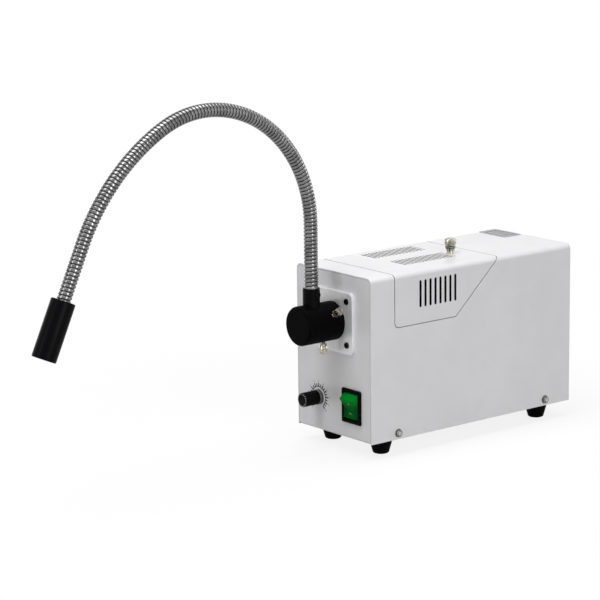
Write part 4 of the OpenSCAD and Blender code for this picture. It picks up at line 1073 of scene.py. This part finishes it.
def knob():
    facing = at(KNOB_X, FRONT - 1, CONTROL_Z, (90, "X"))
    grip = knob_grip()
    base = turned("knob_base", [(BORE_R, 0), (SKIRT_R - 0.2, 0), (SKIRT_R, 0.2), (SKIRT_R, KNOB_SKIRT - 0.5),
                                (SKIRT_R - 0.3, KNOB_SKIRT - 0.1), (BORE_R, KNOB_SKIRT), (BORE_R, 0)], 72)
    coat(base, SKIRT_PLASTIC)
    whole = joined("knob", [grip, smooth(base, 40)])
    mount(placed(whole, facing), "knob", "knob_plastic", "brightness_knob")
    top = KNOB_LENGTH - 0.85
    cap = turned("knob_cap_disc", [(0, top), (4.3, top), (4.7, top - 0.15), (4.75, top - 0.45),
                                   (0, top - 0.45)], 64)
    line = thick("knob_line", oblong(0.8, 3.9, 0, 2.95), 0.12)
    softened(line, 0.03)
    placed(line, at(0, 0, top - 0.05))
    coat(cap, KNOB_PLASTIC)
    coat(line, CAP_GREY)
    face = joined("knob_face", [smooth(cap), line])
    mount(placed(face, facing), "knob", "cap_plastic", "knob_cap")
    refined("pot_nut", NICKEL, "housing", "nickel", edge=0.12)
    dress(TURNED_ALUMINIUM, "pot_shaft")
    dial()


def dial():
    """Printed scale: an arc, ticks and the numbers 0 to 10."""
    inner, outer, ticks_from, numbers_r, film = 9.2, 9.9, 9.8, 14.8, 0.05
    sweep, steps = 280, 20
    start = 90 + sweep / 2
    spots = [radians(start - sweep * k / 60) for k in range(61)]
    outline = [(outer * cos(a), outer * sin(a)) for a in spots]
    outline += [(inner * cos(a), inner * sin(a)) for a in reversed(spots)]
    pieces = [thick("dial_arc", outline, film)]
    for k in range(steps + 1):
        angle = start - sweep * k / steps
        major = k % 2 == 0
        length, width = (3.3, 1.2) if major else (2.5, 1.05)
        tick = thick("dial_tick", oblong(length, width, ticks_from + length / 2), film)
        pieces.append(placed(tick, at(0, 0, 0, (angle, "Z"))))
        if major:
            pieces.append(figure(str(k // 2), 2.1, numbers_r, angle))
    scale = joined("dial_print", pieces)
    placed(scale, at(KNOB_X, FRONT, CONTROL_Z, (90, "X")))
    mount(coat(scale, DARK_INK), "housing", "chassis_enamel")


def figure(text, size, r=0, angle=0):
    """Upright printed text, its middle at a radius and angle round the origin."""
    bpy.ops.object.select_all(action="DESELECT")
    bpy.ops.object.text_add()
    words = bpy.context.object
    words.data.body = text
    words.data.size = size * MM
    words.data.align_x = words.data.align_y = "CENTER"
    words.data.extrude = 0.025 * MM
    words.data.resolution_u = 3
    bpy.ops.object.convert(target="MESH")
    a = radians(angle)
    return placed(bpy.context.object, at(r * cos(a), r * sin(a), 0.025))


# The rocker's round ends, the angle of its two edges there, and its valley's distance from the pivot
END_R, PEAK, DIP = 12.35, 49, 5.2


def switch():
    refined("switch_body", SWITCH_PLASTIC, "housing", "black_plastic", edge=0.15)
    dress(BRASS, "switch_terminals")
    pivot = at(SWITCH_X, PIVOT_Y, CONTROL_Z, (TILT, "X"))
    mount(coat(placed(rocker_lens(), pivot), GREEN), "rocker", "green_lens", "power_rocker")
    mount(coat(placed(rocker_marks(), pivot), PALE_INK), "rocker", "green_lens")


def rocker_lens():
    """The rocker round its pivot: a valley between two slopes with a sunk field on each, and round ends."""
    back, width = 104, 18.9
    valley = [(-DIP - 0.05 * t ** 2, t) for t in (-1.2, -0.6, 0, 0.6, 1.2)]
    arc = [radians(PEAK + (back - PEAK) * k / 10) for k in range(11)]
    upper = [(-END_R * cos(a), END_R * sin(a)) for a in arc]
    outline = [*valley, *upper, *[(y, -z) for y, z in reversed(upper)]]
    rocker = thick("rocker", [(-z, y) for y, z in outline], width)
    placed(rocker, at(-width / 2, 0, 0, (90, "Y")))
    edit(rocker)
    choose("faces", lambda c, n: n.y < -0.9 and abs(c.z) > 1.5)
    bpy.ops.mesh.inset(thickness=1.5 * MM, depth=0, use_individual=True)
    bpy.ops.mesh.inset(thickness=0.35 * MM, depth=-0.3 * MM, use_individual=True)
    leave()
    softened(rocker, 0.35, 25, 3)
    return smooth(rocker, 40)


def rocker_marks():
    """The I and the O, printed on the two sunk fields."""
    slope = (END_R * cos(radians(PEAK)) - DIP) / (END_R * sin(radians(PEAK)))
    lean = degrees(atan(slope))
    marks = []
    for text, z, turn in (("I", 5.2, 90 - lean), ("O", -5.6, 90 + lean)):
        field_y = -DIP - slope * abs(z) + 0.29
        marks.append(placed(figure(text, 4.6), at(0, field_y, z, (turn, "X"))))
    return joined("rocker_marks", marks)


# ---------- hood screw, fan and inlet ----------

def hood_screw():
    """The ferrule that flares upwards from the hood, its upper part dark as painted shade under the screw's
    head, and the captive screw a little above it.
    """
    top, gap, bore = 6.6, 1.4, 2.1
    ferrule = turned("hood_sleeve", [(bore, -1.2), (3.0, -1.2), (3.0, 0), (4.25, 0), (4.3, 0.15), (4.2, 0.6),
                                     (3.65, 1.3), (3.6, 1.7), (4.3, 4.2), (4.8, 5.35), (4.9, 5.6), (4.9, 6.3),
                                     (4.7, top), (3.3, top), (3.0, 6.4), (bore, 6.4), (bore, -1.2)], 64)
    coat(ferrule, NICKEL, DULL_STEEL_AND_PAINTED_SHADE)
    # painted shade: the ferrule's upper part, under the screw's head, takes the dark steel
    for face in ferrule.data.polygons:
        face.material_index = int(face.center.z > 3.4 * MM)
    placed(smooth(ferrule, 40), at(HOOD_SCREW_X, HOOD_SCREW_Y, BODY_H))
    mount(ferrule, "hood", "nickel", "hood_ferrule")
    screw = thumbscrew("hood_knurled_screw", r=5.3, length=5.6, teeth=30, shank_l=14.0,
                       waist=2.4, flange_r=3.0, flange_z=-0.2)
    placed(screw, at(HOOD_SCREW_X, HOOD_SCREW_Y, BODY_H + top + gap))
    mount(coat(screw, NICKEL), "hood_screw", "nickel", "hood_thumbscrew")


def rear():
    refined("mains_inlet", INLET_PLASTIC, "housing", "inlet_plastic", edge=0.3)
    refined("inlet_pins", NICKEL, "housing", "nickel", edge=0.3)
    refined("inlet_screws", ZINC, "housing", "plated_steel", edge=0.1)
    refined("fuse_drawer", INLET_PLASTIC, "fuse", "inlet_plastic", edge=0.2)
    refined("fan_frame", FAN_PLASTIC, "housing", "fan_plastic", edge=0.3)
    refined("fan_rotor", FAN_PLASTIC, "fan", "fan_plastic", edge=0.25)
    head = pan_head(3.5, 2.2)
    shank = turned("fan_shank", [(0, 0.1), (1.85, 0.1), (1.85, -14), (1.5, -14.6), (0, -14.6)], 32)
    screw = joined("fan_screw", [head, shank])
    places = []
    for sx in (-1, 1):
        for sz in (-1, 1):
            x, z = sx * FAN_SCREW_REACH, FAN_Z + sz * FAN_SCREW_REACH
            places.append(at(x, REAR, z, (-90, "X"), (23 * sx + 31 * sz, "Z")))
    screws = coat(joined("fan_screw_set", copies(screw, places)), ZINC)
    mount(screws, "housing", "plated_steel", "fan_screws")
    dress(CERAMIC, "fuse_link")


def inside():
    dress(ZINC, "pot_body", "hood_bridge", "lamp_bracket", "bracket_screws", "filter_holder",
          "transformer_strap", "transformer_screws")
    dress(BRASS, "bridge_insert", "board_standoffs")
    dress(LENS_GLASS, "lamp_reflector", "lamp_capsule", "heat_filter")
    dress(CERAMIC, "lamp_holder")
    dress(CIRCUIT, "dimmer_board")
    dress(PART_BLUE, "board_parts")
    dress(BLACK_OXIDE, "board_heatsink")
    dress(CORE, "transformer_core")
    dress(TAPE, "transformer_coil")


camera()
studio()
box()
socket()
socket_screws()
head()
nozzle(hose())
knob()
switch()
hood_screw()
rear()
inside()
